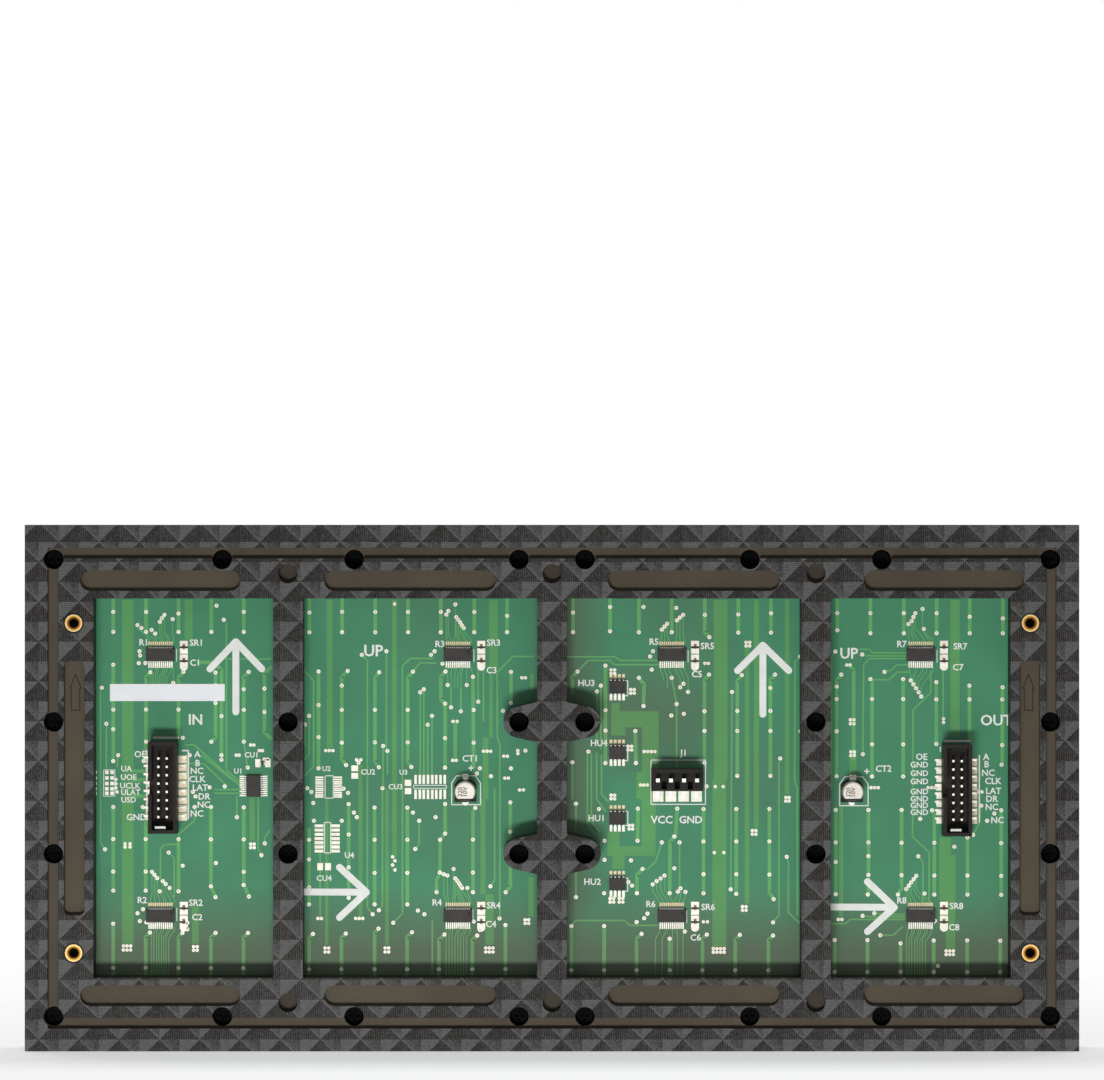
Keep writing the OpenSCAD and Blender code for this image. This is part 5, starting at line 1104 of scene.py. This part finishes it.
def build_materials(sizes, colours):
    """All materials of the module, by slot or by use."""
    looks = {
        "frame_plastic": frame_material(sizes, colours),
        "mask_plastic": mask_material(sizes, colours),
        # A board finish's third and fourth arguments are the colour of its painted olive shade and reflection
        # and how much is laid on
        "board_laminate": board_material("board_finish", colours.board, (0.1, 0.138, 0.084), 0.9),
        "led_white": led_material(colours),
        "brass": brass_material(),
        "tinned_leads": lead_material("tinned_finish", (0.93, 0.91, 0.87), 0.33, 0.25, 0.1),
        "can_aluminium": can_material(),
        "chip_ceramic": chip_material(),
        "copper": board_material("copper_finish", colours.copper, (0.12, 0.24, 0.095), 0.6),
        # Traces: the copper colour made lighter, a painted highlight along their edges
        "traces": board_material("trace_finish", shade(colours.copper, 1.22), (0.16, 0.3, 0.12), 0.6),
        "tin": grained("tin_finish", colours.tin, 0.35, 600.0, 0.15, 0.12, 0.2),
        "ink": grained("ink_finish", colours.ink, 0.6, 300.0, 0.0, 0.05, 0.2),
        # Tan tin: a painted brown reflection on the pads under the upper leads, also used on the soldered
        # header pads
        "tan_tin": lead_material("tan_tin_finish", (0.86, 0.74, 0.52), 0.4, 0.1, 0.2),
    }
    looks.update({key: grained(*finish) for key, finish in FINISHES.items()})
    return looks


# The materials by slot or by use, filled in by the first operator
LOOKS = {}


# Operators, one for each group of pieces

class DISPLAY_OT_materials(bpy.types.Operator):
    """Give every CAD node its finish"""
    bl_idname = "display.materials"
    bl_label = "Finish the CAD nodes"

    def execute(self, context):
        LOOKS.update(build_materials(context.scene.display_sizes, context.scene.display_colours))
        slots = {entry["node"]: entry["material_slot"] for entry in frame["record"]["subparts"]}
        for name, obj in frame["nodes"].items():
            if slots[name] not in LOOKS:
                raise RuntimeError("no finish for " + slots[name])
            obj.data.materials.clear()
            obj.data.materials.append(LOOKS[slots[name]])
        return {"FINISHED"}


class DISPLAY_OT_copper(bpy.types.Operator):
    """Lay the copper lines and areas on the board's back"""
    bl_idname = "display.copper"
    bl_label = "Lay the copper"

    def execute(self, context):
        sizes = context.scene.display_sizes
        base = BOARD_BACK * MM
        bm = bmesh.new()
        for index, (left, low, right, high) in enumerate(POURS):
            plate(bm, ((left + right) / 2, (low + high) / 2), (right - left, high - low), base,
                  sizes.copper * 0.8 + index % 5 * sizes.layer)
        wide = len(bm.faces)
        for index, (width, *points) in enumerate(TRACES):
            path(bm, points, width * MM, base, sizes.copper + index % 20 * sizes.layer, sizes.layer / 2)
        for face in list(bm.faces)[wide:]:
            face.material_index = 1
        piece("copper_lines", bm, "board_laminate", LOOKS["copper"], LOOKS["traces"])
        return {"FINISHED"}


class DISPLAY_OT_holes(bpy.types.Operator):
    """Set the through-holes into the board's back"""
    bl_idname = "display.holes"
    bl_label = "Set the through-holes"

    def execute(self, context):
        sizes = context.scene.display_sizes
        bm = bmesh.new()
        for centres, width, bore in ((HOLES, sizes.land, BORE_SHARE),
                                     (SMALL_HOLES, sizes.small_land, SMALL_BORE_SHARE)):
            for centre in centres:
                land(bm, centre, width, width * bore, BOARD_BACK * MM, sizes.tin)
        piece("through_holes", bm, "tinned_leads", LOOKS["tin"], LOOKS["bore"])
        return {"FINISHED"}


def lead_pads(bm, base, height):
    """Adds a pad under each lead of the packages."""
    for x, z, reach, count, pitch, level in PACKAGES:
        reach += LEAD_PAD_OUT
        for index in range(count):
            step = (index - (count - 1) / 2) * pitch
            for side in (-1, 1):
                spot = (x + step, z + side * reach) if level else (x + side * reach, z + step)
                size = (LEAD_PAD_SHARE * pitch, LEAD_PAD) if level else (LEAD_PAD, LEAD_PAD_SHARE * pitch)
                # The pads under the upper leads of level packages take the tan tin, a painted brown
                # reflection
                plate(bm, spot, size, base, height, index=int(level and side > 0))


def chip_pads(bm, base, tin):
    """Adds the two pads of each chip, the lower one with a round end where the table says so."""
    for x, z, rounded in CHIPS:
        for side in (-1, 1):
            plate(bm, (x, z + side * CHIP_PAD_OFF), CHIP_PAD, base, tin, bevel=tin / 3)
        if rounded:
            disc(bm, (x, z - CHIP_ROUND_OFF), CHIP_PAD[0] * MM, base, tin * 0.9, segments=24)


class DISPLAY_OT_pads(bpy.types.Operator):
    """Set the bare and soldered pads on both sides of the board"""
    bl_idname = "display.pads"
    bl_label = "Set the pads"

    def execute(self, context):
        tin = context.scene.display_sizes.tin
        base = BOARD_BACK * MM
        bm = bmesh.new()
        for x, z, width, height in PADS:
            plate(bm, (x, z), (width, height), base, tin, bevel=tin / 3)
        for x, z in CANS:
            disc(bm, (x, z - CAN_FOOT_DROP), CAN_FOOT * MM, base, tin, segments=24)
        lead_pads(bm, base, tin * 0.6)
        chip_pads(bm, base, tin)
        for x, z, width, height in TAN_PADS:
            plate(bm, (x, z), (width, height), base, tin, bevel=tin / 3, index=1)
            plate(bm, (x + width * 0.12, z + height * 0.22), (width * 0.6, height * 0.34), base, tin * 1.2,
                  index=2)
        for x in POWER_PINS:
            plate(bm, (x, POWER_FOOT), POWER_PAD, base, tin * 1.5, bevel=tin / 2)
        piece("board_pads", bm, "tinned_leads", LOOKS["tin"], LOOKS["tan_tin"], LOOKS["bore"])

        # Painted shade: a dark plate in the gap between each chip's pads, partly the chip's body
        bm = bmesh.new()
        for x, z, _ in CHIPS:
            plate(bm, (x, z), CHIP_GAP, base, tin * 0.6)
        piece("chip_gap_shade", bm, "board_laminate", LOOKS["dimple"])

        bm = bmesh.new()
        height = tin * 3
        for row, column in itertools.product(range(ROWS), range(COLUMNS)):
            x, z = FIRST_COLUMN + column * PITCH, FIRST_ROW + row * PITCH
            for side, level in itertools.product((-1, 1), (-1, 1)):
                plate(bm, (x + side * LED_FOOT_OFF[0], z + level * LED_FOOT_OFF[1]), LED_FOOT,
                      BOARD_FRONT * MM - height, height)
        piece("led_solder", bm, "tinned_leads", LOOKS["tin"])
        return {"FINISHED"}


class DISPLAY_OT_print(bpy.types.Operator):
    """Print the white lines, arrows and marks on the board's back"""
    bl_idname = "display.print"
    bl_label = "Print the board"

    def execute(self, context):
        sizes = context.scene.display_sizes
        base = BOARD_BACK * MM
        bm = bmesh.new()
        for width, *points in PRINT_LINES:
            path(bm, points, width * MM, base, sizes.ink, sizes.layer)
        piece("printed_lines", bm, "label_paper", LOOKS["ink"])

        bm = bmesh.new()
        for tail, tip, left, right in ARROWS:
            for index, end in enumerate((tail, left, right)):
                height = sizes.ink + index * sizes.layer
                bar(bm, tip, end, sizes.arrow, base, height)
                disc(bm, end, sizes.arrow, base, height - sizes.layer / 2, segments=24)
            disc(bm, tip, sizes.arrow, base, sizes.ink + 3 * sizes.layer, segments=24)
        piece("printed_arrows", bm, "label_paper", LOOKS["ink"])

        bm = bmesh.new()
        for text, x, z, height in LABELS:
            letters(bm, text, (x, z), height, base + sizes.ink, sizes.layer)
        piece("printed_marks", bm, "label_paper", LOOKS["ink"])
        return {"FINISHED"}


class DISPLAY_OT_package_details(bpy.types.Operator):
    """Add the drivers' dimples, plates of painted shade in the power socket's notches, the headers' pale
    ledges of painted highlight and the cans' ratings
    """
    bl_idname = "display.package_details"
    bl_label = "Finish the packages"

    def execute(self, context):
        sizes = context.scene.display_sizes
        bm = bmesh.new()
        for x, z, _, count, _, _ in PACKAGES:
            if count == DRIVER_LEADS:
                disc(bm, (x + DIMPLE_PLACE[0], z + DIMPLE_PLACE[1]), DIMPLE_WIDTH * MM, PACKAGE_TOP * MM,
                     sizes.layer * 4, segments=16)
        # Painted shade: near-black plates on the floors of the notches between the power socket's pins
        for left, right in zip(POWER_PINS, POWER_PINS[1:]):
            plate(bm, ((left + right) / 2, POWER_NOTCH), NOTCH, NOTCH_FLOOR * MM, NOTCH_HEIGHT * MM, index=1)
        piece("package_dimples_and_notch_shade", bm, "package_plastic", LOOKS["dimple"], LOOKS["recess"])

        bm = bmesh.new()
        # Painted highlight: white ledges in the print finish stand in for the lit inner faces of the shrouds'
        # lower walls
        for centre in PALE_LEDGE_HIGHLIGHTS:
            plate(bm, centre, LEDGE, SHROUD_LEDGE * MM, LEDGE_HEIGHT * MM, bevel=0.05 * MM)
        piece("shroud_ledge_highlights", bm, "connector_plastic", LOOKS["ink"])

        bm = bmesh.new()
        for x, z in CANS:
            for text, offset in CAN_RATINGS:
                letters(bm, text, (x + offset, z), RATING_HEIGHT, CAN_TOP * MM, sizes.layer, upward=True)
        piece("can_marks", bm, "can_aluminium", LOOKS["rating_ink"])
        return {"FINISHED"}


class DISPLAY_OT_frame_marks(bpy.types.Operator):
    """Mould the arrow outlines into the floors of the side slots"""
    bl_idname = "display.frame_marks"
    bl_label = "Mould the frame's arrows"

    def execute(self, context):
        sizes = context.scene.display_sizes
        bm = bmesh.new()
        for middle in (-SLOT_ARROW_X, SLOT_ARROW_X):
            points = [(middle + x, z) for x, z in SLOT_ARROW]
            path(bm, points, SLOT_STROKE * MM, SLOT_FLOOR * MM, SLOT_RELIEF * MM, sizes.layer)
        piece("slot_arrows", bm, "frame_plastic", LOOKS["connector_plastic"])
        return {"FINISHED"}


class DISPLAY_OT_mask_ribs(bpy.types.Operator):
    """Raise the upright ribs between the LEDs of the mask"""
    bl_idname = "display.mask_ribs"
    bl_label = "Raise the mask's ribs"

    def execute(self, context):
        size = (context.scene.display_sizes.divider / MM, DIVIDER_LENGTH)
        height = DIVIDER_HEIGHT * MM
        bm = bmesh.new()
        for row, column in itertools.product(range(ROWS), range(1, COLUMNS)):
            middle = (FIRST_COLUMN + (column - 0.5) * PITCH, FIRST_ROW + row * PITCH - DIVIDER_DROP)
            plate(bm, middle, size, PLATE_FRONT * MM - height, height * 1.2)
        piece("mask_dividers", bm, "mask_plastic", LOOKS["divider"])
        return {"FINISHED"}


# Stage

def seen_rays(tree):
    """The light path node, and 1 for rays that show a thing itself, mirrored or through another."""
    rays = tree.nodes.new("ShaderNodeLightPath")
    seen = rays.outputs["Is Camera Ray"]
    for kind in ("Is Glossy Ray", "Is Transmission Ray"):
        either = tree.nodes.new("ShaderNodeMath")
        either.operation = "MAXIMUM"
        tree.links.new(seen, either.inputs[0])
        tree.links.new(rays.outputs[kind], either.inputs[1])
        seen = either.outputs[0]
    return rays, seen


def mix_shaders(tree, share, first, second, output):
    """Lays the second shader over the first by a share, and shows the outcome."""
    mix = tree.nodes.new("ShaderNodeMixShader")
    for source, socket in zip((share, first, second), mix.inputs):
        tree.links.new(source, socket)
    tree.links.new(mix.outputs[0], tree.nodes[output].inputs["Surface"])


def floor_material(colours):
    """Pale floor that glows when it is seen, throws no shadow and fades out."""
    nodes = Nodes("floor_finish")
    nodes.surface(nodes.mottle(colours.floor, 2.0, 0.99, 1.01), 0.9, specular=0.1)
    rays, seen = seen_rays(nodes.tree)
    nodes.shader.inputs["Emission Color"].default_value = (1, 1, 1, 1)
    nodes.put(nodes.shader.inputs["Emission Strength"], nodes.times(seen, FLOOR_GLOW))
    far = nodes.add("ShaderNodeVectorMath", operation="LENGTH")
    nodes.put(far.inputs[0], nodes.place)
    fade = nodes.over(nodes.minus(far.outputs["Value"], FLOOR_FADE_FROM), FLOOR_FADE, clamp=True)
    clear = nodes.add("ShaderNodeBsdfTransparent")
    mix_shaders(nodes.tree, nodes.most(rays.outputs["Is Shadow Ray"], fade), nodes.shader.outputs[0],
                clear.outputs[0], "Material Output")
    return nodes.material


def add_floor(scene):
    """Lays the floor under the module."""
    bm = bmesh.new()
    bmesh.ops.create_grid(bm, x_segments=4, y_segments=4, size=FLOOR_HALF)
    mesh = bpy.data.meshes.new("floor")
    bm.to_mesh(mesh)
    bm.free()
    mesh.materials.append(floor_material(scene.display_colours))
    floor = bpy.data.objects.new("floor", mesh)
    scene.collection.objects.link(floor)


def add_lamps(scene):
    """Hangs the lamps, each turned to the module."""
    for name, place, width, depth, power in LAMPS:
        lamp = bpy.data.lights.new(name, "AREA")
        lamp.shape, lamp.size, lamp.size_y, lamp.energy = "RECTANGLE", width, depth, power
        holder = bpy.data.objects.new(name, lamp)
        holder.location = place
        aim = Vector(LAMP_AIM) - holder.location
        holder.rotation_euler = aim.to_track_quat("-Z", "Y").to_euler()
        scene.collection.objects.link(holder)


def add_surroundings(scene):
    """Sets surroundings that look white and light the module a little."""
    world = bpy.data.worlds.new("surroundings")
    world.use_nodes = True
    scene.world = world
    tree = world.node_tree
    sky, white = tree.nodes["Background"], tree.nodes.new("ShaderNodeBackground")
    for background, strength in ((sky, SKY_LIGHT), (white, 1.0)):
        background.inputs["Color"].default_value = (1, 1, 1, 1)
        background.inputs["Strength"].default_value = strength
    mix_shaders(tree, seen_rays(tree)[1], sky.outputs[0], white.outputs[0], "World Output")


def add_camera(scene):
    """Sets the camera behind the module."""
    lens = bpy.data.cameras.new("camera")
    lens.lens, lens.sensor_width = CAMERA_LENS, CAMERA_SENSOR
    camera = bpy.data.objects.new("camera", lens)
    camera.location = CAMERA_PLACE
    camera.rotation_euler = (math.pi / 2, 0, math.pi)
    scene.collection.objects.link(camera)
    scene.camera = camera


class DISPLAY_OT_stage(bpy.types.Operator):
    """Set the floor, the lamps, the surroundings and the camera"""
    bl_idname = "display.stage"
    bl_label = "Set the stage"

    def execute(self, context):
        for step in (add_floor, add_lamps, add_surroundings, add_camera):
            step(context.scene)
        context.scene.view_settings.view_transform = "Standard"
        return {"FINISHED"}


class DISPLAY_PT_looks(bpy.types.Panel):
    """Sizes, colours and steps of the looks"""
    bl_idname = "DISPLAY_PT_looks"
    bl_label = "LED display module"
    bl_space_type = "VIEW_3D"
    bl_region_type = "UI"
    bl_category = "Display"

    def draw(self, context):
        for group in (context.scene.display_sizes, context.scene.display_colours):
            for key in group.bl_rna.properties.keys():
                if key not in {"rna_type", "name"}:
                    self.layout.prop(group, key)
        for operator in OPERATORS:
            self.layout.operator(operator.bl_idname)


OPERATORS = (DISPLAY_OT_materials, DISPLAY_OT_copper, DISPLAY_OT_holes, DISPLAY_OT_pads, DISPLAY_OT_print,
             DISPLAY_OT_package_details, DISPLAY_OT_frame_marks, DISPLAY_OT_mask_ribs, DISPLAY_OT_stage)
CLASSES = (DisplaySizes, DisplayColours, *OPERATORS, DISPLAY_PT_looks)


def register():
    """Registers the classes and the scene's sizes and colours."""
    for item in CLASSES:
        bpy.utils.register_class(item)
    bpy.types.Scene.display_sizes = PointerProperty(type=DisplaySizes)
    bpy.types.Scene.display_colours = PointerProperty(type=DisplayColours)


def unregister():
    """Takes back what register() has added."""
    del bpy.types.Scene.display_colours
    del bpy.types.Scene.display_sizes
    for item in reversed(CLASSES):
        bpy.utils.unregister_class(item)


def main():
    """Runs every step in order."""
    register()
    bpy.ops.display.materials()
    bpy.ops.display.copper()
    bpy.ops.display.holes()
    bpy.ops.display.pads()
    bpy.ops.display.print()
    bpy.ops.display.package_details()
    bpy.ops.display.frame_marks()
    bpy.ops.display.mask_ribs()
    bpy.ops.display.stage()


if __name__ == "__main__":
    main()
